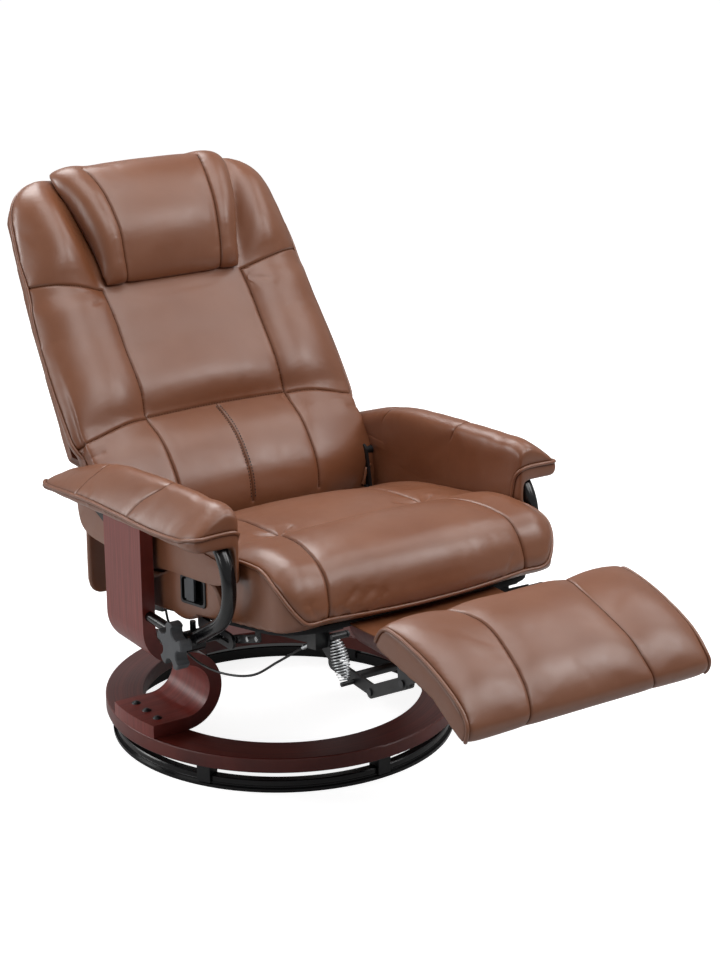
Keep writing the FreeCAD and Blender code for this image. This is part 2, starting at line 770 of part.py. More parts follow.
def cross_tubes():
    tubes = []
    for share in cross_tube_y_share:
        y = rail_front_y + (rail_rear_y - rail_front_y) * share
        z = seat_low(y) - rail_tall / 2
        inner = rail_x - rail_half + rail_sheet
        tubes.append(rod_x_at(y, z, cross_tube_radius, -inner - rail_half, inner + rail_half))
    return Part.makeCompound(tubes)


def slide_plate():
    x0, x1 = -seat_board_half - slide_sheet, -seat_board_half
    half = slide_bar_half
    bar = slot_outline((slide_bar_front_y + half, hub_z), (slide_bar_rear_y - half, hub_z), half)
    bar = plate_x(bar, x0, x1)
    y1 = slide_bar_rear_y
    y0 = y1 - slide_neck
    neck = plate_x(lambda at: trace(at, (y0, hub_z), [
        (y1, hub_z), (y1, seat_top(y1)), (y0, seat_top(y0)), (y0, hub_z)]), x0, x1)
    slot = plate_x(slot_outline((hub_y - slide_travel, hub_z), (hub_y, hub_z), clamp_bolt_radius + turn_gap),
                   x0 - overrun, x1 + overrun)
    return bar.fuse(neck).cut(slot)


def slide_brace():
    x0 = -seat_board_half
    foot = (brace_foot_y, seat_low(brace_foot_y) - brace_foot_drop)
    heel = (brace_heel_y, brace_heel_z)
    bar = link(heel, foot, brace_half, x0 + clamp_head_high + 2 * face_gap,
               x0 + clamp_head_high + 2 * face_gap + brace_sheet)
    post = plate_x(lambda at: trace(at, (foot[0] - brace_half, foot[1]), [
        (foot[0] + brace_half, foot[1]), (foot[0] + brace_half, seat_low(foot[0] + brace_half)),
        (foot[0] - brace_half, seat_low(foot[0] - brace_half)), (foot[0] - brace_half, foot[1])]),
        x0 + clamp_head_high + 2 * face_gap, x0 + clamp_head_high + 2 * face_gap + brace_sheet)
    return bar.fuse(post)


def brace_screws():
    x0 = -seat_board_half + clamp_head_high + 2 * face_gap
    foot = (brace_foot_y, seat_low(brace_foot_y) - brace_foot_drop)
    heel = (brace_heel_y, brace_heel_z)
    return Part.makeCompound([
        rod_x_at(heel[0] + (foot[0] - heel[0]) * share, heel[1] + (foot[1] - heel[1]) * share,
                 screw_radius, x0, x0 - screw_high) for share in brace_screw_shares])


# Back, drawn in its own plane: s runs up the back, n points to the sitter
lean = radians(back_lean_deg)


def on_back(x, s, n):
    return vec(x, back_foot_y + s * sin(lean) - n * cos(lean), back_foot_z + s * cos(lean) + n * sin(lean))


def to_back(y, z):
    dy, dz = y - back_foot_y, z - back_foot_z
    return dy * sin(lean) + dz * cos(lean), -dy * cos(lean) + dz * sin(lean)


# Back cushion stations from the bottom up: place up the back as a share of its top, half width and seam line
# as shares of the half width, and the middle, the seam and the wing's crest as shares of the swell
back_station_shares = [
    (-0.4355, 0.791, -0.087, -0.13, -0.348, 0.4823),
    (-0.4004, 0.8296, 0.348, 0.261, -0.043, 0.4823),
    (-0.3125, 0.8424, 0.913, 0.804, 0.435, 0.4823),
    (-0.2188, 0.8553, 1.0, 0.87, 0.565, 0.4823),
    (-0.1406, 0.9035, 0.891, 0.761, 0.565, 0.4823),
    (-0.0781, 0.9743, 0.609, 0.5, 0.435, 0.4823),
    (-0.0156, 1.0, 0.174, 0.109, 0.348, 0.4855),
    (0.0059, 1.0, 0.065, 0.022, 0.391, 0.4855),
    (0.0312, 1.0, 0.217, 0.13, 0.478, 0.4855),
    (0.2539, 0.9936, 0.413, 0.261, 0.587, 0.4823),
    (0.3809, 0.9807, 0.348, 0.217, 0.543, 0.4855),
    (0.4688, 0.9711, 0.174, 0.087, 0.478, 0.492),
    (0.5117, 0.9614, 0.033, 0.0, 0.326, 0.5048),
    (0.5859, 0.955, 0.043, 0.022, 0.413, 0.5209),
    (0.6836, 0.9453, 0.043, 0.022, 0.435, 0.5466),
    (0.7812, 0.926, 0.043, 0.022, 0.37, 0.5852),
    (0.8691, 0.8939, 0.033, 0.011, 0.239, 0.6174),
    (0.9336, 0.836, -0.043, -0.065, 0.0, 0.6302),
    (0.9766, 0.7588, -0.239, -0.261, -0.261, 0.6109),
    (1.0, 0.6752, -0.5, -0.522, -0.543, 0.5305)]


def back_section(s_share, half_share, middle_share, seam_share, wing_share, seam_x_share):
    s, half, seam_x = s_share * back_top, half_share * back_half, seam_x_share * back_half
    middle, seam, wing = middle_share * back_swell, seam_share * back_swell, wing_share * back_swell
    at = lambda x, n: on_back(x, s, n)
    rear, edge = back_pad_rear, back_edge
    side = max(min(-edge, wing - edge * 0.7), rear + edge * 0.43)
    wing_x = (half + seam_x) / 2 + edge * 0.86
    cheek = (rear + side) / 2 - edge / 7
    return trace(at, (-half + edge, rear), [
        (half - edge, rear),
        ((half - edge * 0.2, cheek), (half, side)),
        ((wing_x, wing), (seam_x, seam)),
        ((0.0, middle), (-seam_x, seam)),
        ((-wing_x, wing), (-half, side)),
        ((-half + edge * 0.2, cheek), (-half + edge, rear))])


def back_cushion():
    return loft([back_section(*s) for s in back_station_shares])


# Head pillow stations: place between its lower and upper edge, half width as a share of its own,
# and the edge, the seam, the middle and the rear face as shares of its swell
pillow_station_shares = [
    (0.0039, 0.777, 0.087, 0.109, 0.13, 0.0507),
    (0.0156, 0.793, 0.13, 0.188, 0.217, 0.0507),
    (0.0508, 0.803, 0.217, 0.319, 0.362, 0.0507),
    (0.1484, 0.814, 0.348, 0.522, 0.594, 0.0507),
    (0.3359, 0.851, 0.522, 0.826, 0.913, 0.0507),
    (0.5078, 0.904, 0.58, 0.899, 1.0, 0.0507),
    (0.6875, 0.957, 0.493, 0.841, 0.928, 0.0507),
    (0.8242, 1.0, 0.304, 0.681, 0.768, 0.0435),
    (0.9219, 1.0, 0.116, 0.464, 0.536, -0.087),
    (0.9727, 0.968, -0.043, 0.232, 0.304, -0.2464),
    (1.0, 0.926, -0.145, 0.014, 0.058, -0.2899)]
pillow_seam_share = 0.64


def pillow_section(s_share, half_share, *high_shares):
    s, half = pillow_low + s_share * (pillow_top - pillow_low), half_share * pillow_half
    edge, seam, middle, rear = (share * pillow_high for share in high_shares)
    at = lambda x, n: on_back(x, s, n)
    seam_x, r = half * pillow_seam_share, pillow_edge
    cheek = (edge + seam) / 2 + r / 4
    return trace(at, (-half + r, rear), [
        (half - r, rear),
        (half, (rear + edge) / 2),
        ((half - r * 1.25, cheek), (seam_x, seam)),
        ((0.0, middle), (-seam_x, seam)),
        ((-half + r * 1.25, cheek), (-half, (rear + edge) / 2)),
        (-half + r, rear)])


def head_pillow():
    return loft([pillow_section(*s) for s in pillow_station_shares])


# Heights of the back board's outline, as shares of the cushion's top
board_shares = {"waist": -0.16, "bend": -0.117, "wing": -0.07, "chest": 0.512, "neck": 0.879,
                "shoulder": 0.945, "top": 0.98}


def back_outline(n, narrow):
    """Outline of the back's rigid layers at depth n, set in from the cushion."""
    at = lambda x, s: on_back(x, s, n)
    high = {name: share * back_top for name, share in board_shares.items()}
    low = back_board_half - narrow
    wide = back_half - back_board_trim - narrow
    chest = wide - back_edge
    top = (back_half - back_board_trim) * back_board_top_share - narrow
    crown, cheek = top - 4 * back_edge, top - 1.5 * back_edge
    bend = low + 0.7 * back_edge
    return trace(at, (-low, back_bottom + narrow), [
        (low, back_bottom + narrow), (low, high["waist"]),
        ((bend, high["bend"]), (wide, high["wing"])),
        (chest, high["chest"]), (top, high["neck"]),
        ((cheek, high["shoulder"] - narrow / 2), (crown, high["top"] - narrow)),
        (-crown, high["top"] - narrow),
        ((-cheek, high["shoulder"] - narrow / 2), (-top, high["neck"])),
        (-chest, high["chest"]), (-wide, high["wing"]),
        ((-bend, high["bend"]), (-low, high["waist"])),
        (-low, back_bottom + narrow)])


def back_board():
    n = back_pad_rear - soft_gap
    normal = on_back(0, 0, -back_board_thick) - on_back(0, 0, 0)
    return Part.Face(back_outline(n, 0.0)).extrude(normal)


def back_cover():
    n = back_pad_rear - 2 * soft_gap - back_board_thick
    return loft([back_outline(n, 2.0), back_outline(n - back_cover_thick * 0.6, 2.0),
                 back_outline(n - back_cover_thick, 16.0)], True)


def rear_skirt():
    at = lambda x, z: vec(x, skirt_y, z)
    half, low, r = skirt_half, skirt_low, skirt_corner
    k = r * (1 - cos(radians(45)))
    wire = trace(at, (-half, skirt_top), [
        (-half, low + r), ((-half + k, low + k), (-half + r, low)), (half - r, low),
        ((half - k, low + k), (half, low + r)), (half, skirt_top), (-half, skirt_top)])
    skirt = Part.Face(wire).extrude(vec(0, skirt_thick, 0))
    n = back_pad_rear - 2 * soft_gap - back_board_thick - back_cover_thick - soft_gap
    a, b = on_back(0, -2 * skirt_half, n), on_back(0, 2 * skirt_half, n)
    wedge = trace(side_view(-2 * half), (a.y, a.z), [
        (b.y, b.z), (a.y, b.z), (a.y, a.z)])
    return skirt.cut(Part.Face(wedge).extrude(vec(4 * half, 0, 0)))


def crank_point():
    half = radians(recline_deg / 2)
    return seat_pivot_y + crank_radius * sin(half), seat_pivot_z + crank_radius * cos(half)


# Hinge arms of the back: seat pivot, plank pivot and the edge of the back board
def hinge_arm():
    x0 = -back_board_half - soft_gap - hinge_sheet
    x1 = -back_board_half - soft_gap
    q = crank_point()
    s_low, s_high = back_bottom + hinge_eye, back_bottom * hinge_top_share
    n = back_pad_rear - soft_gap - back_board_thick / 2
    low, high = on_back(0, s_low, n), on_back(0, s_high, n)
    half = hinge_eye
    strip = plate_x(slot_outline((low.y, low.z), (high.y, high.z), back_board_thick / 2), x0, x1)
    a = plate_x(slot_outline((seat_pivot_y, seat_pivot_z), (low.y, low.z), half * 0.8), x0, x1)
    b = plate_x(slot_outline(q, (high.y, high.z), half * 0.8), x0, x1)
    c = plate_x(slot_outline((seat_pivot_y, seat_pivot_z), q, half), x0, x1)
    arm = strip.fuse([a, b, c])
    arm = arm.cut(rod_x_at(seat_pivot_y, seat_pivot_z, pivot_radius + turn_gap, x0 - overrun, x1 + overrun))
    play = crank_radius * (1 - cos(radians(recline_deg / 2))) / crank_radius
    inner = (q[0] + (seat_pivot_y - q[0]) * play, q[1] + (seat_pivot_z - q[1]) * play)
    slot = plate_x(slot_outline(inner, q, pivot_radius + 3 * turn_gap), x0 - overrun, x1 + overrun)
    return arm.cut(slot)


def seat_lug():
    x0, x1 = -seat_board_half - lug_sheet, -seat_board_half
    a = (lug_heel_y, seat_low(lug_heel_y) + lug_half / 2)
    b = (lug_knee_y, seat_low(lug_knee_y) + lug_half / 2)
    pivot = (seat_pivot_y, seat_pivot_z)
    lug = plate_x(slot_outline(a, b, lug_half), x0, x1)
    lug = lug.fuse([plate_x(slot_outline(b, pivot, lug_half), x0, x1),
                    rod_x_at(pivot[0], pivot[1], hinge_eye, x0, x1)])
    return lug.cut(rod_x_at(pivot[0], pivot[1], pivot_radius, x0 - overrun, x1 + overrun))


def seat_pivot_pin():
    x_in = -seat_board_half + pivot_head_high
    x_out = -back_board_half - soft_gap - hinge_sheet - face_gap
    pin = rod_x_at(seat_pivot_y, seat_pivot_z, pivot_radius, x_in, x_out)
    head = rod_x_at(seat_pivot_y, seat_pivot_z, pivot_head_radius, x_out, x_out - pivot_head_high)
    return pin.fuse(head)


def plank_bracket():
    x1 = -(plank_face_x - plank_thick)
    x0 = x1 + bracket_sheet
    q = crank_point()
    root = (plank_mid_y + plank_width / 4, bracket_high)
    plate = plate_x(slot_outline(root, q, bracket_half * 0.75), x1, x0)
    pad = rod_x_at(root[0], root[1], bracket_half, x1, x0)
    boss_end = -back_board_half - soft_gap - hinge_sheet - face_gap
    boss = rod_x_at(q[0], q[1], pivot_radius + boss_wall, x0, boss_end)
    pin = rod_x_at(q[0], q[1], pivot_radius, boss_end, boss_end + hinge_sheet + 2 * face_gap)
    return plate.fuse([pad, boss, pin])


# Footrest
# Side view of the pad over its board, from the rear edge forward:
# shares of the length from rear edge to tip and of the pad's height
foot_side_shares = {"heel": (0.0212, 0.56), "brow": (0.1186, 0.94), "crest": (0.4703, 0.72),
                    "fall": (0.7881, 0.2), "nose": (0.9703, -0.28), "tip": (1.072, -0.8),
                    "toe": (1.0805, -1.24)}

# Pad stations outward from the middle, as shares of the half width, the crown and the draw
foot_station_shares = [
    (0.0, 1.0, 0.0), (0.372, 0.857, 0.0), (0.4793, 0.5, 0.0), (0.5785, 0.714, 0.0),
    (0.9339, 0.286, 0.0), (0.9793, 0.0, 0.222), (1.0, -0.286, 1.0)]


def foot_section(x_share, crown_share, draw_share):
    crown, draw = crown_share * foot_crown, draw_share * foot_draw
    length = foot_rear_y - foot_tip_y

    def point(name, forward, lift):
        along, height = foot_side_shares[name]
        return foot_rear_y - along * length - forward, foot_rear_z + height * foot_pad_high + lift

    return trace(side_view(x_share * foot_half), (foot_rear_y - draw, foot_rear_z), [
        (point("heel", draw, 0.0), point("brow", draw, (crown - draw) / 2)),
        (point("crest", 0.0, crown - draw), point("fall", 0.0, crown - draw)),
        (point("nose", -draw, crown / 2 - draw), point("tip", -draw, 0.0)),
        (point("toe", -draw, 0.0), (foot_tip_y + draw / 2, foot_tip_z + draw / 2)),
        (foot_knee_y, foot_knee_z),
        (foot_rear_y - draw, foot_rear_z)])


def foot_cushion():
    right = [(-s[0],) + s[1:] for s in reversed(foot_station_shares)]
    return loft([foot_section(*s) for s in right + foot_station_shares[1:]])


def foot_under(y):
    """Height of the pad's flat underside."""
    return foot_rear_z + (foot_knee_z - foot_rear_z) * (y - foot_rear_y) / (foot_knee_y - foot_rear_y)


def foot_board():
    y0, y1 = foot_knee_y + foot_board_thick, foot_rear_y - foot_board_thick
    top = lambda y: foot_under(y) - soft_gap
    low = lambda y: foot_under(y) - soft_gap - foot_board_thick
    wire = lambda at: trace(at, (y0, low(y0)), [(y1, low(y1)), (y1, top(y1)), (y0, top(y0)), (y0, low(y0))])
    return plate_x(wire, -foot_board_half, foot_board_half)


def foot_bracket():
    x0, x1 = -foot_bracket_x - 2 * arm_link_sheet, -foot_bracket_x - arm_link_sheet
    front_y = foot_pivot_y - 2 * foot_board_thick
    rear_y = foot_rear_y - 2 * foot_board_thick
    low = lambda y: foot_under(y) - soft_gap - foot_board_thick
    p = (foot_pivot_y, foot_pivot_z)
    wire = lambda at: trace(at, (p[0] - arm_link_half, p[1]), [
        ((p[0], p[1] - arm_link_half), (p[0] + arm_link_half, p[1])),
        (rear_y, low(rear_y)), (front_y - 4 * foot_board_thick, low(front_y - 4 * foot_board_thick)),
        (p[0] - arm_link_half, p[1])])
    plate = plate_x(wire, x0, x1)
    return plate.cut(rod_x_at(p[0], p[1], arm_pin_radius + turn_gap, x0 - overrun, x1 + overrun))


def foot_beam():
    """Square tube under the board, between the two pairs of arms."""
    half = beam_half
    y = foot_pivot_y - 3 * half
    slope = degrees(atan2(foot_rear_z - foot_knee_z, foot_rear_y - foot_knee_y))
    z = foot_under(y) - 2 * soft_gap - (foot_board_thick + half) / cos(radians(slope))
    reach = arm_layers()[0] - 4 * face_gap
    tube = box_between((-reach, y - half, z - half), (reach, y + half, z + half))
    sheet = rail_sheet
    hollow = box_between((-reach - overrun, y - half + sheet, z - half + sheet),
                         (reach + overrun, y + half - sheet, z + half - sheet))
    tube = tube.cut(hollow)
    tube.rotate(vec(0, y, z), X, slope)
    return tube


def knee_point():
    dy, dz = foot_pivot_y - arm_root_y, foot_pivot_z - arm_root_z
    span = hypot(dy, dz)
    sag = sqrt(arm_link_length ** 2 - (span / 2) ** 2)
    mid = (arm_root_y + dy / 2, arm_root_z + dz / 2)
    return mid[0] - sag * dz / span, mid[1] + sag * dy / span


def arm_layers():
    """Inner x of the lower arm, the upper arm and the footrest bracket, side by side."""
    lower = rail_x + rail_half + face_gap
    return lower, lower + arm_link_sheet + face_gap


def lower_arm():
    x = arm_layers()[0]
    root, knee = (arm_root_y, arm_root_z), knee_point()
    bore = arm_pin_radius + turn_gap
    arm = link(root, knee, arm_link_half, -x - arm_link_sheet, -x, [(root, bore), (knee, arm_pin_radius)])
    peg = spring_peg_point()
    stub = rod_x_at(peg[0], peg[1], peg_radius, -x, -spring_x - 2 * peg_radius)
    hole = rod_x_at(root[0], root[1], bore, -x - 2 * arm_link_sheet, -x + overrun)
    return arm.fuse(stub).cut(hole)


def upper_arm():
    x = arm_layers()[1]
    knee, end = knee_point(), (foot_pivot_y, foot_pivot_z)
    bore = arm_pin_radius + turn_gap
    return link(knee, end, arm_link_half, -x - arm_link_sheet, -x, [(knee, bore), (end, arm_pin_radius)])


def root_pin():
    """Pin in the rail's lug, its head inside, so that the folding upper arm passes over it."""
    lower = arm_layers()[0]
    web = rail_x + rail_half
    root = rod_x_at(arm_root_y, arm_root_z, arm_pin_radius, -web + rail_sheet, -lower - arm_link_sheet)
    head = rod_x_at(arm_root_y, arm_root_z, arm_pin_radius * 1.6, -web + rail_sheet,
                    -web + rail_sheet + screw_high)
    return root.fuse(head)


def knee_pin():
    lower, upper = arm_layers()
    knee = knee_point()
    pin = rod_x_at(knee[0], knee[1], arm_pin_radius, -lower, -upper - arm_link_sheet - face_gap)
    head = rod_x_at(knee[0], knee[1], arm_pin_radius * 1.6, -upper - arm_link_sheet - face_gap,
                    -upper - arm_link_sheet - face_gap - screw_high)
    return pin.fuse(head)


def end_pin():
    upper = arm_layers()[1]
    out = foot_bracket_x + 2 * arm_link_sheet
    pin = rod_x_at(foot_pivot_y, foot_pivot_z, arm_pin_radius, -upper, -out - face_gap)
    head = rod_x_at(foot_pivot_y, foot_pivot_z, arm_pin_radius * 1.6, -out - face_gap,
                    -out - face_gap - screw_high)
    return pin.fuse(head)


def arm_cross_bar():
    """Bar that joins the two lower arms, so that both sides fold together."""
    lower = arm_layers()[0]
    root, knee = (arm_root_y, arm_root_z), knee_point()
    y = root[0] + (knee[0] - root[0]) * cross_bar_share
    z = root[1] + (knee[1] - root[1]) * cross_bar_share
    return rod_x_at(y, z, arm_link_half * 0.7, -lower, lower)


def spring_peg_point():
    return arm_root_y - spring_peg_reach, arm_root_z - spring_peg_drop


def biarc_turn(centre_at, radius_at, turns, quarter_steps):
    """Points and arcs of a coil: quarter turns, each a pair of three point arcs."""
    edges = []
    n = turns * quarter_steps
    for i in range(n):
        t0, t1 = i / n, (i + 1) / n
        tm = (t0 + t1) / 2
        a, m, b = (coil_point(centre_at, radius_at, turns, t) for t in (t0, tm, t1))
        edges.append(Part.Arc(a, m, b).toShape())
    return edges


def coil_point(centre_at, radius_at, turns, t):
    angle = 2 * pi * turns * t
    c, u, v = centre_at(t)
    r = radius_at(t)
    return c + u * (r * cos(angle)) + v * (r * sin(angle))


def barrel_spring():
    hook = vec(-spring_x, spring_hook_y, spring_hook_z)
    py, pz = spring_peg_point()
    peg = vec(-spring_x, py, pz)
    axis = peg - hook
    length = axis.Length
    u = X
    v = axis.cross(u)
    v.normalize()
    loop = peg_radius + spring_wire + peg_gap
    start, end = loop / length, 1 - loop / length
    centre_at = lambda t: (hook + axis * (start + (end - start) * t), u, v)
    swell = spring_mid_radius - spring_end_radius
    radius_at = lambda t: spring_end_radius + swell * sin(pi * t) ** 0.7 if 0 < t < 1 else spring_end_radius
    edges = biarc_turn(centre_at, radius_at, spring_turns, 4)
    path = Part.Wire(edges)
    first = edges[0]
    heading = first.tangentAt(first.FirstParameter)
    circle = Part.Wire(Part.makeCircle(spring_wire, first.valueAt(first.FirstParameter), heading))
    points = [coil_point(centre_at, radius_at, spring_turns, i / (24.0 * spring_turns))
              for i in range(24 * spring_turns + 1)]
    return path.makePipeShell([circle], True), coil_gap(points, 2 * spring_wire, 12)


def coil_gap(points, thick, apart):
    """Least gap between turns: nearest points of the middle line a half turn or more apart."""
    least = min((a - b).Length for i, a in enumerate(points) for b in points[i + apart:])
    return least - thick


def front_flap():
    """Leather web from the seat board's front edge to the footrest board's rear edge."""
    y0 = seat_front_y + seat_board_thick
    y1 = foot_rear_y - foot_board_thick
    z0 = seat_low(y0) + (seat_board_thick - flap_thick) / 2
    z1 = foot_under(y1) - soft_gap - (foot_board_thick + flap_thick) / 2
    mid_y, mid_z, t = (y0 + y1) / 2, (z0 + z1) / 2 - flap_sag / 2, flap_thick
    wire = lambda at: trace(at, (y0, z0), [
        ((mid_y, mid_z), (y1, z1)), (y1, z1 + t), ((mid_y, mid_z + t), (y0, z0 + t)), (y0, z0)])
    return plate_x(wire, -flap_half, flap_half)


# Pod with the release handle
# Side view of the pod from its rear lower corner forward, as shares of its length and height
pod_side_shares = {"sag": (0.2174, 0.026), "belly": (0.441, 0.138), "dip": (0.59, 0.129),
                   "chin": (0.733, 0.31), "front": (1.0, 0.466), "cheek": (0.9814, 0.741),
                   "brow": (0.8634, 1.0), "top": (0.652, 0.966), "fall": (0.466, 0.81),
                   "tail": (0.2795, 0.569), "rear": (0.0, 0.448)}


def pod_outline(at):
    length = pod_rear_y - pod_front_y
    p = {name: (pod_rear_y - along * length, pod_low_z + up * pod_high)
         for name, (along, up) in pod_side_shares.items()}
    start = (pod_rear_y, pod_low_z)
    return trace(at, start, [
        (p["sag"], p["belly"]),
        (p["dip"], p["chin"]),
        p["front"],
        (p["cheek"], p["brow"]),
        p["top"],
        (p["fall"], p["tail"]),
        p["rear"],
        start])


def side_pod():
    x0, x1 = -pod_outer_x, -pod_inner_x
    pod = plate_x(pod_outline, x0 + pod_edge, x1)
    small = pod_outline(side_view(x0)).makeOffset2D(-pod_edge, 2)
    pod = pod.fuse(loft([pod_outline(side_view(x0 + pod_edge)), small], True))
    half_y, half_z = bezel_half_y - bezel_rim / 2, bezel_half_z - bezel_rim / 2
    pocket = bezel_block(half_y, half_z, x0 - overrun, x0 + bezel_deep)
    notch = slot_outline((slide_bar_front_y, hub_z), (slide_bar_rear_y, hub_z),
                         slide_bar_half + pod_notch_room)
    notch = plate_x(notch, x1 - 2 * slide_sheet, x1 + overrun)
    return pod.cut(pocket).cut(notch)


def bezel_block(half_y, half_z, x0, x1):
    """Rounded block leaning with the handle's parallelogram."""
    y, z = bezel_y, bezel_z
    tilt = bezel_tilt
    r = bezel_rim * 1.6
    low = lambda yy: z - half_z - tilt * (yy - y)
    high = lambda yy: z + half_z - tilt * (yy - y)
    a, b = y - half_y, y + half_y
    k = r * (1 - cos(radians(45)))
    wire = lambda at: trace(at, (a + r, low(a + r)), [
        (b - r, low(b - r)), ((b - k, low(b - k) + k), (b, low(b) + r)),
        (b, high(b) - r), ((b - k, high(b - k) - k), (b - r, high(b - r))),
        (a + r, high(a + r)), ((a + k, high(a + k) - k), (a, high(a) - r)),
        (a, low(a) + r), ((a + k, low(a + k) + k), (a + r, low(a + r)))])
    return plate_x(wire, x0, x1)


def handle_bezel():
    x0 = -pod_outer_x
    flange = bezel_block(bezel_half_y, bezel_half_z, x0 - bezel_out, x0 - soft_gap)
    rim = [e for e in flange.Edges if e.BoundBox.XMax < x0 - bezel_out + soft_gap]
    flange = flange.makeChamfer(bezel_out / 2.5, rim)
    gap = bezel_rim / 2 + soft_gap
    cup = bezel_block(bezel_half_y - gap, bezel_half_z - gap, x0 - soft_gap, x0 + bezel_deep - soft_gap)
    hollow = bezel_block(bezel_half_y - bezel_rim, bezel_half_z - bezel_rim, x0 - overrun,
                         x0 + bezel_deep - 2 * soft_gap - bezel_rim / 3)
    bezel = flange.fuse(cup).cut(hollow)
    y, z = paddle_pin()
    return bezel.cut(Part.makeCylinder(paddle_pin_radius + turn_gap, 2 * bezel_half_z,
                                       vec(y[0], y[1], z - bezel_half_z)))


def paddle_pin():
    """Upright pin of the paddle, near the front edge of its opening."""
    x = -pod_outer_x + bezel_deep / 2
    y = bezel_y + bezel_half_y - bezel_rim - 3 * paddle_pin_radius
    return (x, y), bezel_z


def release_paddle():
    x0 = -pod_outer_x
    (px, py), pz = paddle_pin()
    open_half = bezel_half_y - bezel_rim - paddle_gap
    half = open_half * paddle_share
    middle = bezel_y + open_half - half
    block = bezel_block(bezel_half_y - bezel_rim - paddle_gap, bezel_half_z - bezel_rim - paddle_gap,
                        x0, x0 + paddle_thick)
    cut = box_between((x0 - overrun, bezel_y - 2 * bezel_half_y, bezel_z - 2 * bezel_half_z),
                      (x0 + 2 * paddle_thick, middle - half, bezel_z + 2 * bezel_half_z))
    heel = box_between((x0 - overrun, py - paddle_heel, bezel_z - 2 * bezel_half_z),
                       (x0 + 2 * paddle_thick, py + bezel_half_y, bezel_z + 2 * bezel_half_z))
    blade = block.cut([cut, heel])
    tall = bezel_half_z - bezel_rim - 4.5 * paddle_gap
    drop = bezel_tilt * (py - bezel_y)
    barrel = Part.makeCylinder(2 * paddle_pin_radius, 2 * (tall - paddle_gap),
                               vec(px, py, pz - tall + paddle_gap - drop))
    web = box_between((x0, py - paddle_heel - paddle_pin_radius, pz - tall + paddle_gap - drop),
                      (px, py, pz + tall - paddle_gap - drop))
    bore = Part.makeCylinder(paddle_pin_radius + turn_gap, 4 * tall, vec(px, py, pz - 2 * tall))
    return blade.fuse([barrel, web]).cut(bore)


def paddle_axle():
    (px, py), pz = paddle_pin()
    tall = bezel_half_z - bezel_rim / 2
    drop = bezel_tilt * (py - bezel_y)
    return Part.makeCylinder(paddle_pin_radius, 2 * (tall - bezel_rim),
                             vec(px, py, pz - tall + bezel_rim - drop))


# Cable between the handle and the latch: straight runs joined by tangent arcs
def rounded_path(points, radius):
    pts = [vec(*p) for p in points]
    edges, here = [], pts[0]
    for i in range(1, len(pts) - 1):
        a = (pts[i - 1] - pts[i]).normalize()
        b = (pts[i + 1] - pts[i]).normalize()
        half = a.getAngle(b) / 2
        cut = radius / tan(half)
        p, q = pts[i] + a * cut, pts[i] + b * cut
        inward = (a + b).normalize()
        mid = pts[i] + inward * (radius / sin(half) - radius)
        edges.append(Part.makeLine(here, p))
        edges.append(Part.Arc(p, mid, q).toShape())
        here = q
    edges.append(Part.makeLine(here, pts[-1]))
    return edges


def release_cable():
    edges = rounded_path(cable_points, cable_bend)
    path = Part.Wire(edges)
    start = vec(*cable_points[0])
    circle = Part.Wire(Part.makeCircle(cable_radius, start, vec(*cable_points[1]) - start))
    return path.makePipeShell([circle], True, False), path.Length


def cable_ferrules():
    """Sleeves that hold the cable at the pod and at the latch."""
    out = []
    for a, b, host in ((cable_points[0], cable_points[1], side_pod()),
                       (cable_points[-1], cable_points[-2], latch_housing())):
        u = (vec(*a) - vec(*b)).normalize()
        sleeve = Part.makeCylinder(ferrule_radius, ferrule_length, vec(*a), u).cut(host)
        out.append(max(sleeve.Solids, key=lambda k: -(k.CenterOfMass - vec(*a)).Length))
    return Part.makeCompound(out)


def latch_housing():
    x0, x1 = -rail_x - rail_half - 2 * latch_half, -rail_x - rail_half
    y0, y1 = latch_y - 2 * latch_half, latch_y + latch_half / 2
    wire = lambda at: trace(at, (y0, seat_low(y0) - rail_tall), [
        (y1, seat_low(y1) - rail_tall), (y1, seat_low(y1)), (y0, seat_low(y0)),
        (y0, seat_low(y0) - rail_tall)])
    return plate_x(wire, x0, x1)


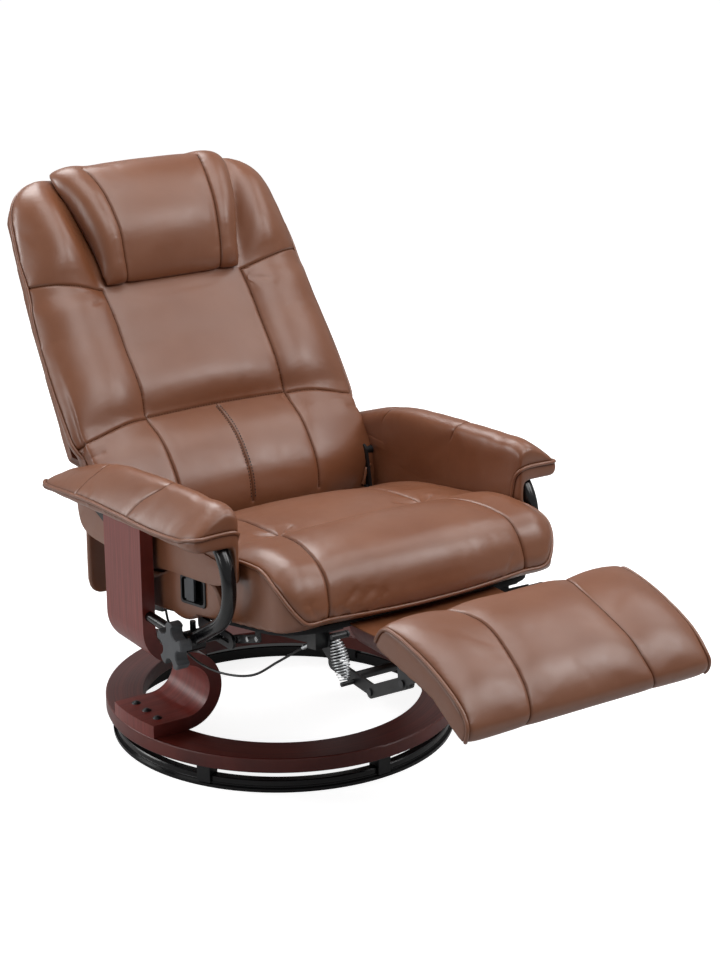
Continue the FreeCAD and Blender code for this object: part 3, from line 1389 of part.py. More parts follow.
def main():
    save("floor_ring", floor_ring())
    save("guide_shoes", guide_shoes())
    save("wood_ring", wood_ring())
    save_pair("side_plank", side_plank())
    save("plank_bolts", both(plank_bolts()))
    save_pair("arm_board", arm_board())
    save_pair("arm_pad", arm_pad())
    save_pair("arm_tube", arm_tube())
    save_pair("star_knob", star_knob())
    save("clamp_bolts", both(clamp_bolt()))
    save("seat_cushion", seat_cushion())
    save("seat_board", seat_board())
    save_pair("seat_rail", seat_rail())
    save("seat_cross_tubes", cross_tubes())
    save_pair("slide_plate", slide_plate())
    save("slide_braces", both(slide_brace()))
    save("brace_screws", both(brace_screws()))
    save("back_cushion", back_cushion())
    save("head_pillow", head_pillow())
    save("back_board", back_board())
    save("back_cover", back_cover())
    save("rear_skirt", rear_skirt())
    save_pair("hinge_arm", hinge_arm())
    save_pair("seat_lug", seat_lug())
    save("seat_pivot_pins", both(seat_pivot_pin()))
    save_pair("plank_bracket", plank_bracket())
    save("footrest_cushion", foot_cushion())
    save("footrest_board", foot_board())
    save_pair("footrest_bracket", foot_bracket())
    save("footrest_beam", foot_beam())
    save_pair("lower_arm", lower_arm())
    save_pair("upper_arm", upper_arm())
    save("arm_root_pins", both(root_pin()))
    save("arm_knee_pins", both(knee_pin()))
    save("arm_end_pins", both(end_pin()))
    save("arm_cross_bar", arm_cross_bar())
    spring, gap = barrel_spring()
    save_pair("barrel_spring", spring)
    save("footrest_flap", front_flap())
    save("side_pod", side_pod())
    save("handle_bezel", handle_bezel())
    save("release_paddle", release_paddle())
    save("paddle_axle", paddle_axle())
    cable, length = release_cable()
    save("release_cable", cable)
    save("cable_ferrules", cable_ferrules())
    save("latch_housing", latch_housing())
    print("release cable: length %.1f mm" % length)
    print("barrel spring: %d turns, least gap to itself %.2f mm" % (spring_turns, gap))
    print("knee pin at y %.1f, z %.1f; plank pin at y %.1f, z %.1f" % (knee_point() + crank_point()))
    print("seat slide %.2f mm for %.0f degrees of the back" % (slide_travel, recline_deg))


main()
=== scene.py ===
import math

import bmesh
import bpy
import numpy as np
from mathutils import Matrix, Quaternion, Vector, noise
from mathutils.bvhtree import BVHTree
from mathutils.kdtree import KDTree


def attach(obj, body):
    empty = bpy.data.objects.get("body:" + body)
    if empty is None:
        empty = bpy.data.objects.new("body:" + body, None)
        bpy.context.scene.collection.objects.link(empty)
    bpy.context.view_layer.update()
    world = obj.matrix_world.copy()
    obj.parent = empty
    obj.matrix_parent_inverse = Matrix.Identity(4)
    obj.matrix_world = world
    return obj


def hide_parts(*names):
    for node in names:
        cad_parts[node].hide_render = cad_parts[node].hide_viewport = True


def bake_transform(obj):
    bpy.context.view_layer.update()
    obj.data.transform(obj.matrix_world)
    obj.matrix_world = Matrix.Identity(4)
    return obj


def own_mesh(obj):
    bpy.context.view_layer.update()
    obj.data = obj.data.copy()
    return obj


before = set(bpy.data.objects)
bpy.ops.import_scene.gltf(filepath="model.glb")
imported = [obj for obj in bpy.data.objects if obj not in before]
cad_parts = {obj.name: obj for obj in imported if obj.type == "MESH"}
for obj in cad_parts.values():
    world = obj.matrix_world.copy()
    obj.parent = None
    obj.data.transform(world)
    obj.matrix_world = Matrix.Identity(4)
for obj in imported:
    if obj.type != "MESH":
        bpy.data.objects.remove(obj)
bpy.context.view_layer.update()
print("frame loaded:", len(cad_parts), "nodes")

mm = 0.001  # looks are in millimetres, places in metres
seamStep = 0.002  # from one point of a seam to the next

# Camera: a long lens in front of the sitter's right (-X), looking down from above the back's top
cameraSetup = {"place": (-2.131, -3.497, 1.845), "toward": (0.5222, 0.7916, -0.3174), "rollRadians": -0.0058,
               "focalPixels": 2349, "longSidePixels": 960}

# Studio: white room, five round soft lamps overhead and two lower at the picture's left
studio = {"floorSize": 30, "floorWhite": 0.55, "glowNear": 0.88, "glowFar": 1.0, "nearRadius": 0.9, "farRadius": 2.4,
          "floorInGloss": 0.1, "roomInGloss": 0.35, "roomAmbient": 0.02, "aim": (0, -0.15, 0.5),
          "lamps": {"ceilingMiddle": {"watts": 34, "size": 2.2, "place": (0, -0.2, 3.4)},
                    "ceilingFront": {"watts": 32, "size": 1.8, "place": (0, -2.2, 3.0)},
                    "ceilingRear": {"watts": 52, "size": 1.8, "place": (0, 2.0, 3.0)},
                    "ceilingRight": {"watts": 20, "size": 1.8, "place": (2.2, -0.2, 3.0)},
                    "frontRight": {"watts": 34, "size": 1.5, "place": (1.9, -2.1, 2.7)},
                    "left": {"watts": 21, "size": 1.4, "place": (-3.2, 0.2, 1.4)},
                    "leftRear": {"watts": 40, "size": 1.4, "place": (-2.6, 2.4, 1.6)}}}


def deselectAll():
    if bpy.context.object and bpy.context.object.mode != "OBJECT":
        bpy.ops.object.mode_set(mode="OBJECT")
    for piece in bpy.context.selected_objects:
        piece.select_set(False)


def hexColour(code):
    parts = [int(code[i:i + 2], 16) / 255 for i in (1, 3, 5)]
    return [*[p / 12.92 if p <= 0.04045 else ((p + 0.055) / 1.055) ** 2.4 for p in parts], 1]


def addNode(tree, kind, inputs=None, stops=None, **settings):
    node = tree.nodes.new(kind)
    for name, value in settings.items():
        setattr(node, name, value)
    for name, value in (inputs or {}).items():
        if isinstance(value, bpy.types.NodeSocket):
            tree.links.new(value, node.inputs[name])
        else:
            node.inputs[name].default_value = value
    for i, (place, colour) in enumerate(stops or []):
        ramp = node.color_ramp
        stop = ramp.elements[i] if i < len(ramp.elements) else ramp.elements.new(place)
        stop.position = place
        stop.color = colour
    return node


def placeCamera(setup):
    lens = bpy.data.cameras.new("photoCamera")
    lens.lens = setup["focalPixels"] / setup["longSidePixels"] * lens.sensor_width
    camera = bpy.data.objects.new("photoCamera", lens)
    bpy.context.scene.collection.objects.link(camera)
    camera.location = setup["place"]
    camera.rotation_mode = "QUATERNION"
    aim = Vector(setup["toward"]).to_track_quat("-Z", "Y")
    camera.rotation_quaternion = aim @ Quaternion((0, 0, 1), setup["rollRadians"])
    bpy.context.scene.camera = camera


def addLamp(name, setup, aim):
    lamp = bpy.data.lights.new(name + "Lamp", "AREA")
    lamp.shape = "DISK"
    lamp.size = setup["size"]
    lamp.energy = setup["watts"]
    holder = bpy.data.objects.new(name + "Lamp", lamp)
    bpy.context.scene.collection.objects.link(holder)
    holder.location = setup["place"]
    holder.rotation_euler = (Vector(aim) - Vector(setup["place"])).to_track_quat("-Z", "Y").to_euler()


def whereSeen(tree, inGloss):
    # 1 for the camera, and a share for what shows in glossy surfaces
    ray = addNode(tree, "ShaderNodeLightPath")
    mirrored = addNode(tree, "ShaderNodeMath", {0: ray.outputs["Is Glossy Ray"], 1: inGloss}, operation="MULTIPLY")
    seen = addNode(tree, "ShaderNodeMath", {0: ray.outputs["Is Camera Ray"], 1: mirrored.outputs[0]},
                   operation="MAXIMUM")
    return ray, seen


def setStudio(setup):
    bpy.context.scene.view_settings.view_transform = "Standard"
    world = bpy.data.worlds.new("whiteRoom")
    world.use_nodes = True
    bpy.context.scene.world = world
    tree = world.node_tree
    tree.nodes.clear()
    ray, seen = whereSeen(tree, setup["roomInGloss"])
    seen = addNode(tree, "ShaderNodeMath", {0: seen.outputs[0], 1: ray.outputs["Is Transmission Ray"]},
                   operation="MAXIMUM")
    level = addNode(tree, "ShaderNodeMapRange", {0: seen.outputs[0], 3: setup["roomAmbient"], 4: 1.0})
    room = addNode(tree, "ShaderNodeBackground", {"Color": hexColour("#ffffff"), "Strength": level.outputs[0]})
    addNode(tree, "ShaderNodeOutputWorld", {"Surface": room.outputs[0]})
    deselectAll()
    bpy.ops.mesh.primitive_plane_add(size=setup["floorSize"], location=(0, 0, 0))
    floor = bpy.context.object
    floor.name = "studioFloor"
    paint = bpy.data.materials.new("floorWhitePaint")
    paint.use_nodes = True
    tree = paint.node_tree
    tree.nodes.clear()
    seen = whereSeen(tree, setup["floorInGloss"])[1]
    # the floor glows a little less under the chair, where the photo's background is greyer
    place = addNode(tree, "ShaderNodeTexCoord").outputs["Object"]
    away = addNode(tree, "ShaderNodeVectorMath", {0: place}, operation="LENGTH")
    level = addNode(tree, "ShaderNodeMapRange", {0: away.outputs["Value"], 1: setup["nearRadius"],
                                                 2: setup["farRadius"], 3: setup["glowNear"], 4: setup["glowFar"]},
                    interpolation_type="SMOOTHSTEP")
    glow = addNode(tree, "ShaderNodeMath", {0: seen.outputs[0], 1: level.outputs[0]}, operation="MULTIPLY")
    white = addNode(tree, "ShaderNodeBsdfDiffuse", {"Color": [setup["floorWhite"]] * 3 + [1]})
    light = addNode(tree, "ShaderNodeEmission", {"Color": hexColour("#ffffff"), "Strength": glow.outputs[0]})
    both = addNode(tree, "ShaderNodeAddShader", {0: white.outputs[0], 1: light.outputs[0]})
    addNode(tree, "ShaderNodeOutputMaterial", {"Surface": both.outputs[0]})
    floor.data.materials.append(paint)
    for name, lamp in setup["lamps"].items():
        addLamp(name, lamp, setup["aim"])


placeCamera(cameraSetup)
setStudio(studio)
print("camera and studio set")

def mirrorPath(points):
    return [Vector((-p[0], p[1], p[2])) for p in points]


def bothSides(points):
    return [points, mirrorPath(points)]


def smoothPath(points, step=seamStep):
    # Catmull-Rom through the measured points, then even spacing
    between = 24
    p = [Vector(q) for q in points]
    p = [p[0] * 2 - p[1]] + p + [p[-1] * 2 - p[-2]]
    fine = []
    for a, b, c, d in zip(p, p[1:], p[2:], p[3:]):
        for i in range(between):
            t = i / between
            fine.append(0.5 * (2 * b + (c - a) * t + (2 * a - 5 * b + 4 * c - d) * t * t
                               + (3 * b - a - 3 * c + d) * t ** 3))
    fine.append(p[-2])
    gone = [0.0]
    for a, b in zip(fine, fine[1:]):
        gone.append(gone[-1] + (b - a).length)
    count = max(2, round(gone[-1] / step))
    places = np.interp(np.linspace(0, gone[-1], count + 1), gone, np.arange(len(fine)))
    return [fine[int(u)].lerp(fine[min(int(u) + 1, len(fine) - 1)], u - int(u)) for u in places]


def layOn(surface, path, around=4):
    # puts a path on a surface, evens it out over a few points on each side and puts it down again
    path = [surface.find_nearest(q)[0] for q in path]
    path = [sum(path[i - around:i + around + 1], Vector()) / (2 * around + 1)
            if around <= i < len(path) - around else q for i, q in enumerate(path)]
    return [surface.find_nearest(q)[0] for q in path]


def meshPoints(mesh):
    flat = np.empty(len(mesh.vertices) * 3)
    mesh.vertices.foreach_get("co", flat)
    return flat.reshape(-1, 3)


def meshNormals(mesh):
    flat = np.empty(len(mesh.vertices) * 3, np.float32)
    mesh.vertex_normals.foreach_get("vector", flat)
    return flat.reshape(-1, 3).astype(float)


def setPoints(mesh, points):
    mesh.vertices.foreach_set("co", points.astype(np.float32).ravel())
    mesh.update()


def surfaceOf(piece):
    return BVHTree.FromObject(piece, bpy.context.evaluated_depsgraph_get())


def makeActive(piece):
    deselectAll()
    piece.select_set(True)
    bpy.context.view_layer.objects.active = piece


def applyModifier(piece, kind, **settings):
    makeActive(piece)
    bpy.ops.object.modifier_add(type=kind)
    added = piece.modifiers[-1]
    for name, value in settings.items():
        setattr(added, name, value)
    bpy.ops.object.modifier_apply(modifier=added.name)


def easeEdges(piece, wide, degrees=50, segments=2):
    applyModifier(piece, "BEVEL", width=wide * mm, segments=segments, limit_method="ANGLE",
                  angle_limit=math.radians(degrees))


def faceOutward(piece):
    makeActive(piece)
    bpy.ops.object.mode_set(mode="EDIT")
    bpy.ops.mesh.select_all(action="SELECT")
    bpy.ops.mesh.normals_make_consistent(inside=False)
    bpy.ops.object.mode_set(mode="OBJECT")


def shadeAndCoat(piece, degrees, finish):
    makeActive(piece)
    bpy.ops.object.shade_smooth_by_angle(angle=math.radians(degrees))
    piece.data.materials.append(finish)


def copyNode(nodeName, pieceName):
    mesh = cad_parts[nodeName].data.copy()
    mesh.materials.clear()
    piece = bpy.data.objects.new(pieceName, mesh)
    bpy.context.scene.collection.objects.link(piece)
    makeActive(piece)
    bpy.ops.object.mode_set(mode="EDIT")
    bpy.ops.mesh.select_all(action="SELECT")
    bpy.ops.mesh.remove_doubles(threshold=0.00002)
    bpy.ops.object.mode_set(mode="OBJECT")
    return piece


def distanceTo(points, path):
    # distance of each point to a dense path, and how far along it the nearest place is
    tree = KDTree(len(path))
    for i, q in enumerate(path):
        tree.insert(q, i)
    tree.balance()
    found = [tree.find(q) for q in points]
    return np.array([f[2] for f in found]), np.array([f[1] for f in found])


clothRun = {"quality": 4, "frames": 20}


def swell(piece, held, look):
    # the cover is blown up like a bag, held where it is sewn down and where it lies on its board
    before = meshPoints(piece.data)
    group = piece.vertex_groups.new(name="held")
    group.add([int(i) for i in held], 1.0, "REPLACE")
    makeActive(piece)
    bpy.ops.object.modifier_add(type="CLOTH")
    cloth = piece.modifiers[-1]
    cloth.settings.quality = clothRun["quality"]
    cloth.settings.use_pressure = True
    cloth.settings.uniform_pressure_force = look["pressure"]
    cloth.settings.effector_weights.gravity = 0
    cloth.settings.shrink_min = look["slack"]
    cloth.settings.tension_stiffness = look["stiffness"]
    cloth.settings.bending_stiffness = look["bending"]
    cloth.settings.vertex_group_mass = group.name
    cloth.point_cache.frame_end = clothRun["frames"]
    for step in range(1, clothRun["frames"] + 1):
        bpy.context.scene.frame_set(step)
    bpy.ops.object.modifier_apply(modifier=cloth.name)
    bpy.context.scene.frame_set(1)
    moved = meshPoints(piece.data) - before
    reach = np.maximum(np.linalg.norm(moved, axis=1), 1e-9)
    moved *= np.minimum(1, look["farthest"] * mm / reach)[:, None]
    setPoints(piece.data, before + moved)
    piece.vertex_groups.clear()
    print(piece.name, "swelled: mean", round(float(reach.mean()) * 1000, 1), "mm, most",
          round(float(reach.max()) * 1000, 1), "mm")


def keepNear(piece, cadSurface, look):
    # the cover stands out of the CAD form by no more than proud, and lies inside it by no more than
    # within, or close on it beside the board that it is stapled to
    stapled = 0.6
    points = meshPoints(piece.data)
    toBoard = points @ np.array(Vector(look["boardSide"]).normalized())
    nearBoard = np.clip((toBoard.max() - toBoard) / (look["stapleBand"] * mm), 0, 1)
    for i, p in enumerate(points):
        near, normal, _, _ = cadSurface.find_nearest(Vector(p))
        off = (Vector(p) - near).dot(normal)
        within = (stapled + (look["within"] - stapled) * nearBoard[i]) * mm
        if off > look["proud"] * mm:
            points[i] = p - np.array(normal) * (off - look["proud"] * mm)
        elif off < -within:
            points[i] = p + np.array(normal) * (-within - off)
    setPoints(piece.data, points)


def fillOut(piece, bulges, facingGain=1.6):
    # extra filling in places, where the cover faces the third axis: middle, half sizes along the axes,
    # height, and how far past the middle the filling may reach
    points, normals = meshPoints(piece.data), meshNormals(piece.data)
    for bulge in bulges:
        frameOf = np.array([Vector(a).normalized() for a in bulge["axes"]])
        apart = (points - np.array(bulge["at"])) @ frameOf.T / np.array(bulge["half"])
        facing = np.clip(normals @ frameOf[2] * facingGain, 0, 1)
        room = bulge.get("reach", 1) - (points - np.array(bulge["at"])) @ frameOf[2]
        out = np.exp(-(apart ** 2).sum(axis=1)) * facing * bulge["high"] * mm
        points = points + np.outer(np.minimum(out, np.maximum(room, 0)), frameOf[2])
    setPoints(piece.data, points)


def refineNear(piece, path, reach):
    points = meshPoints(piece.data)
    near = distanceTo(points, path)[0] < reach
    mesh = bmesh.new()
    mesh.from_mesh(piece.data)
    mesh.verts.ensure_lookup_table()
    edges = [e for e in mesh.edges if near[e.verts[0].index] and near[e.verts[1].index]]
    bmesh.ops.subdivide_edges(mesh, edges=edges, cuts=1, use_grid_fill=True)
    mesh.to_mesh(piece.data)
    mesh.free()


# Sewing, in mm: how far round a seam the mesh is split, the painted shade line in the groove, and how the pull and
# the ripples spread
sewing = {"split": 9, "dark": 0.85, "darkWide": 1.5, "pullShare": 0.7, "pullWider": 4, "rippleWide": 11,
          "ripplesPerMetre": 95}


def sew(piece, seams, look):
    # draws the cover in along its seams, ripples it across them and marks them with painted shade for the material
    surface = surfaceOf(piece)
    laid = [layOn(surface, smoothPath(seam["path"])) for seam in seams]
    sewn = [q for line in laid for q in line]
    owner = np.concatenate([np.full(len(line), i) for i, line in enumerate(laid)])
    along = np.concatenate([np.arange(len(line)) * seamStep for line in laid])
    never = 999  # a seam marked oneEnd fades at its last point only
    ends = np.concatenate([np.minimum(np.arange(len(line)) + (never if seam.get("oneEnd") else 0),
                                      np.arange(len(line))[::-1]) * seamStep for line, seam in zip(laid, seams)])
    refineNear(piece, sewn, sewing["split"] * mm)
    points, normals = meshPoints(piece.data), meshNormals(piece.data)
    off, nearest = distanceTo(points, sewn)
    who = owner[nearest]

    def each(key, usual):
        return np.array([seam.get(key, usual) for seam in seams])[who]

    deep, wide = each("deep", look["seamDeep"]) * mm, each("wide", look["seamWide"]) * mm
    ripple, fade = each("ripple", look["ripple"]) * mm, each("fade", 0.0) * mm
    dark, darkWide = each("dark", sewing["dark"]), each("darkWide", sewing["darkWide"]) * mm
    tip = np.where(fade > 0, np.clip(ends[nearest] / np.maximum(fade, 1e-6), 0, 1), 1.0)
    tip = tip * tip * (3 - 2 * tip)
    wave = np.array([noise.noise(Vector((a * sewing["ripplesPerMetre"], w * 7.3, 0.4)))  # each seam its own row
                     for a, w in zip(along[nearest], who)])
    pull = sewing["pullShare"] * deep * np.exp(-(off / (wide * sewing["pullWider"])) ** 1.5)
    inward = (deep * np.exp(-(off / wide) ** 2) + pull) * tip
    inward += ripple * wave * np.exp(-(off / (sewing["rippleWide"] * mm)) ** 2) * tip
    dents = look["dent"] * mm * np.array([noise.noise(Vector(p) / (look["dentSize"] * mm)) for p in points])
    setPoints(piece.data, points - normals * (inward - dents)[:, None])
    # the seam mark is painted shade: it darkens the leather in and beside each groove
    mark = piece.data.attributes.new("seam", "FLOAT", "POINT")
    mark.data.foreach_set("value", (dark * tip * np.exp(-(off / darkWide) ** 2)).astype(np.float32))
    return laid


def makeCushion(pieceName, nodeName, body, look, seams):
    piece = copyNode(nodeName, pieceName)
    cadSurface = surfaceOf(piece)
    applyModifier(piece, "REMESH", mode="VOXEL", voxel_size=look["voxel"] * mm)
    applyModifier(piece, "SMOOTH", factor=0.5, iterations=look["ease"])
    eased, normals = meshPoints(piece.data), meshNormals(piece.data)
    lines = [q for seam in seams for q in smoothPath(seam["path"], 2 * seamStep)]
    if look["simulated"]:
        off = distanceTo(eased, lines)[0]
        hidden = normals @ np.array(look["boardSide"]) > 0.6
        setPoints(piece.data, eased - normals * look["startInside"] * mm)
        swell(piece, np.nonzero((off < look["voxel"] * 0.8 * mm) | hidden)[0], look)
        setPoints(piece.data, eased + (meshPoints(piece.data) - eased) * look["loose"])
    keepNear(piece, cadSurface, look)
    fillOut(piece, look["bulges"])
    applyModifier(piece, "SMOOTH", factor=0.5, iterations=look["calm"])
    applyModifier(piece, "SUBSURF", levels=1, render_levels=1)
    laid = sew(piece, seams, look)
    makeActive(piece)
    bpy.ops.object.shade_smooth()
    piece.data.materials.append(leather)
    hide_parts(nodeName)
    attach(piece, body)
    print(pieceName, "sewn,", len(piece.data.polygons), "faces")
    return piece, laid


def makeWelt(pieceName, lines, body, radius=3.4 * mm, material=None):
    # a cord in a folded strip of leather, or a bare one
    curve = bpy.data.curves.new(pieceName, "CURVE")
    curve.dimensions = "3D"
    curve.bevel_depth = radius
    curve.bevel_resolution = 2
    curve.use_fill_caps = True
    for line in lines:
        spline = curve.splines.new("POLY")
        spline.points.add(len(line) - 1)
        for point, q in zip(spline.points, line):
            point.co = (*q, 1)
    welt = bpy.data.objects.new(pieceName, curve)
    bpy.context.scene.collection.objects.link(welt)
    makeActive(welt)
    bpy.ops.object.convert(target="MESH")
    welt = bpy.context.object
    bpy.ops.object.shade_smooth()
    welt.data.materials.clear()
    welt.data.materials.append(material or leather)
    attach(welt, body)
    return welt


# Faux leather: PVC coated knit, calendered with a fine pebble and wiped with a satin finish.
# To the eye: soft broad highlights and a fine grain; where it is drawn in at a seam, a painted shade darkens it and
# takes the shine off.
leatherLook = {"colour": "#76462c", "paler": "#7d4d33", "seamShadeColour": "#241009", "roughness": 0.37,
               "shine": 0.8, "grainMm": 2.6, "grainDepthMm": 0.05, "creaseMm": 38, "creaseDepthMm": 0.2}
# Mahogany stain on beech ply with satin lacquer: red brown, fine grain, quiet reflections
woodLook = {"colour": "#85332a", "darker": "#6b241c", "grainMm": 1.6, "alongMm": 70, "roughness": 0.34}
# The ring is stained deeper than the planks
ringLook = dict(woodLook, colour="#64231a", darker="#4a150e")
# Black stoved enamel on steel tube: smooth, deep black, sharp highlights, slight orange peel
enamelLook = {"colour": "#0b0b0d", "roughness": 0.2, "peelMm": 5, "peelDepthMm": 0.04}
# Black powder coat on pressed steel: fine texture, low gloss
powderLook = {"colour": "#131315", "roughness": 0.42, "peelMm": 1.6, "peelDepthMm": 0.06}
# Zinc plated steel: bright, slightly yellow, uneven passivation
zincLook = {"colour": "#c3c6c8", "paler": "#dcdedf", "roughness": 0.27, "patchMm": 9}
# Moulded grey nylon: matt with a fine spark texture
nylonLook = {"colour": "#4b4d50", "roughness": 0.52, "grainMm": 1.3, "grainDepthMm": 0.05}
# Moulded black ABS: dark, satin
absLook = {"colour": "#111214", "roughness": 0.38, "grainMm": 1.5, "grainDepthMm": 0.03}
# Bare birch plywood: pale, thin darker glue lines between plies
plyLook = {"colour": "#c8a271", "darker": "#8d6538", "plyMm": 1.6, "roughness": 0.62}
# Black oxide on turned steel pins: dark grey, satin, almost smooth
oxideLook = {"colour": "#26272a", "roughness": 0.36, "peelMm": 2, "peelDepthMm": 0.03}
# Black spunbond polypropylene stapled over boards: felted fibres, no shine; on the seat board's edges it is a dark
# sheet standing in for the shade under the seat
clothLook = {"colour": "#121214", "paler": "#1e1e20", "fibreMm": 1.6}


def newFinish(name):
    finish = bpy.data.materials.new(name)
    finish.use_nodes = True
    tree = finish.node_tree
    tree.nodes.clear()
    shader = addNode(tree, "ShaderNodeBsdfPrincipled")
    addNode(tree, "ShaderNodeOutputMaterial", {"Surface": shader.outputs[0]})
    place = addNode(tree, "ShaderNodeTexCoord").outputs["Object"]
    return finish, tree, shader, place


def bumpFrom(tree, shader, height, depthMm, strength=1.0, under=None):
    inputs = {"Height": height, "Distance": depthMm * mm, "Strength": strength}
    if under:
        inputs["Normal"] = under
    bump = addNode(tree, "ShaderNodeBump", inputs)
    tree.links.new(bump.outputs[0], shader.inputs["Normal"])
    return bump.outputs[0]


def rampOf(tree, pattern, low, high):
    # low and high: place on the pattern, colour
    return addNode(tree, "ShaderNodeValToRGB", {"Fac": pattern},
                   stops=[(place, hexColour(code)) for place, code in (low, high)]).outputs[0]


def varyRoughness(tree, shader, pattern, start, end, high=0.7):
    rough = addNode(tree, "ShaderNodeMapRange", {0: pattern, 1: 0.3, 2: high, 3: start, 4: end})
    tree.links.new(rough.outputs[0], shader.inputs["Roughness"])


def makeLeather(look):
    finish, tree, shader, place = newFinish("fauxLeatherCalendered")
    patch = addNode(tree, "ShaderNodeTexNoise", {"Vector": place, "Scale": 1000 / 110, "Detail": 3})
    tone = rampOf(tree, patch.outputs[0], (0.35, look["colour"]), (0.7, look["paler"]))
    # painted shade at the seams: the seam mark mixes in the shade colour and takes off the shine
    sewn = addNode(tree, "ShaderNodeAttribute", attribute_name="seam")
    dark = addNode(tree, "ShaderNodeMix", {"Factor": sewn.outputs["Fac"], 6: tone,
                                           7: hexColour(look["seamShadeColour"])}, data_type="RGBA")
    tree.links.new(dark.outputs[2], shader.inputs["Base Color"])
    rub = addNode(tree, "ShaderNodeTexNoise", {"Vector": place, "Scale": 1000 / 30, "Detail": 4})
    varyRoughness(tree, shader, rub.outputs[0], look["roughness"] - 0.04, look["roughness"] + 0.05)
    shine = addNode(tree, "ShaderNodeMapRange", {0: sewn.outputs["Fac"], 1: 0.0, 2: 0.7, 3: look["shine"], 4: 0.0})
    tree.links.new(shine.outputs[0], shader.inputs["Specular IOR Level"])
    # the real pebble is near 1 mm: drawn 2.6 mm wide, because finer is lost between pixels
    pebble = addNode(tree, "ShaderNodeTexVoronoi", {"Vector": place, "Scale": 1000 / look["grainMm"]},
                     feature="SMOOTH_F1")
    crease = addNode(tree, "ShaderNodeTexNoise", {"Vector": place, "Scale": 1000 / look["creaseMm"], "Detail": 3,
                                                  "Roughness": 0.45, "Distortion": 0.6})
    soft = bumpFrom(tree, shader, crease.outputs[0], look["creaseDepthMm"])
    bumpFrom(tree, shader, pebble.outputs["Distance"], look["grainDepthMm"], under=soft)
    shader.inputs["IOR"].default_value = 1.47
    return finish


def makeWood(name, look, ring=False):
    # planks: veneer runs up the plank, so the grain is fine across the depth and long along the rest;
    # ring: veneer follows the bend, so the grain is fine across the rim and long round the middle
    finish, tree, shader, place = newFinish(name)
    if ring:
        apart = addNode(tree, "ShaderNodeSeparateXYZ", {0: place})
        squared = addNode(tree, "ShaderNodeMath", {0: apart.outputs[0], 1: apart.outputs[0]}, operation="MULTIPLY")
        other = addNode(tree, "ShaderNodeMath", {0: apart.outputs[1], 1: apart.outputs[1],
                                                 2: squared.outputs[0]}, operation="MULTIPLY_ADD")
        radius = addNode(tree, "ShaderNodeMath", {0: other.outputs[0]}, operation="SQRT")
        across = addNode(tree, "ShaderNodeMath", {0: radius.outputs[0], 1: look["alongMm"] / look["grainMm"]},
                         operation="MULTIPLY")
        around = addNode(tree, "ShaderNodeVectorMath", {0: place}, operation="NORMALIZE")
        around = addNode(tree, "ShaderNodeVectorMath", {0: around.outputs[0], "Scale": 0.3}, operation="SCALE")
        lane = addNode(tree, "ShaderNodeCombineXYZ", {0: across.outputs[0], 1: across.outputs[0]})
        grain = addNode(tree, "ShaderNodeVectorMath", {0: around.outputs[0], 1: lane.outputs[0]}, operation="ADD")
        grainPlace = grain.outputs[0]
    else:
        grain = addNode(tree, "ShaderNodeMapping",
                        {"Vector": place, "Scale": (1, look["alongMm"] / look["grainMm"], 1)})
        grainPlace = grain.outputs[0]
    fibre = addNode(tree, "ShaderNodeTexNoise", {"Vector": grainPlace, "Scale": 1000 / look["alongMm"], "Detail": 5,
                                                 "Roughness": 0.62, "Distortion": 0.15})
    figure = addNode(tree, "ShaderNodeTexNoise", {"Vector": grainPlace, "Scale": 250 / look["alongMm"], "Detail": 2})
    both = addNode(tree, "ShaderNodeMath", {0: fibre.outputs[0], 1: figure.outputs[0]}, operation="ADD")
    tone = addNode(tree, "ShaderNodeMapRange", {0: both.outputs[0], 1: 0.75, 2: 1.25})
    colour = rampOf(tree, tone.outputs[0], (0.0, look["darker"]), (1.0, look["colour"]))
    tree.links.new(colour, shader.inputs["Base Color"])
    varyRoughness(tree, shader, fibre.outputs[0], look["roughness"] + 0.05, look["roughness"] - 0.04)
    bumpFrom(tree, shader, fibre.outputs[0], 0.05)
    return finish


def makeCoated(name, look):
    finish, tree, shader, place = newFinish(name)
    peel = addNode(tree, "ShaderNodeTexNoise", {"Vector": place, "Scale": 1000 / look["peelMm"], "Detail": 2})
    dust = addNode(tree, "ShaderNodeTexNoise", {"Vector": place, "Scale": 1000 / 45, "Detail": 4})
    varyRoughness(tree, shader, dust.outputs[0], look["roughness"] - 0.04, look["roughness"] + 0.08, 0.75)
    shader.inputs["Base Color"].default_value = hexColour(look["colour"])
    bumpFrom(tree, shader, peel.outputs[0], look["peelDepthMm"])
    return finish


def makeZinc(look):
    finish, tree, shader, place = newFinish("steelZincPlated")
    patch = addNode(tree, "ShaderNodeTexNoise", {"Vector": place, "Scale": 1000 / look["patchMm"], "Detail": 4})
    tone = rampOf(tree, patch.outputs[0], (0.35, look["colour"]), (0.65, look["paler"]))
    tree.links.new(tone, shader.inputs["Base Color"])
    varyRoughness(tree, shader, patch.outputs[0], look["roughness"] - 0.06, look["roughness"] + 0.08)
    shader.inputs["Metallic"].default_value = 1
    return finish


def makeMoulded(name, look):
    finish, tree, shader, place = newFinish(name)
    spark = addNode(tree, "ShaderNodeTexVoronoi", {"Vector": place, "Scale": 1000 / look["grainMm"]})
    flow = addNode(tree, "ShaderNodeTexNoise", {"Vector": place, "Scale": 1000 / 25, "Detail": 3})
    varyRoughness(tree, shader, flow.outputs[0], look["roughness"] - 0.05, look["roughness"] + 0.06)
    shader.inputs["Base Color"].default_value = hexColour(look["colour"])
    bumpFrom(tree, shader, spark.outputs["Distance"], look["grainDepthMm"])
    return finish


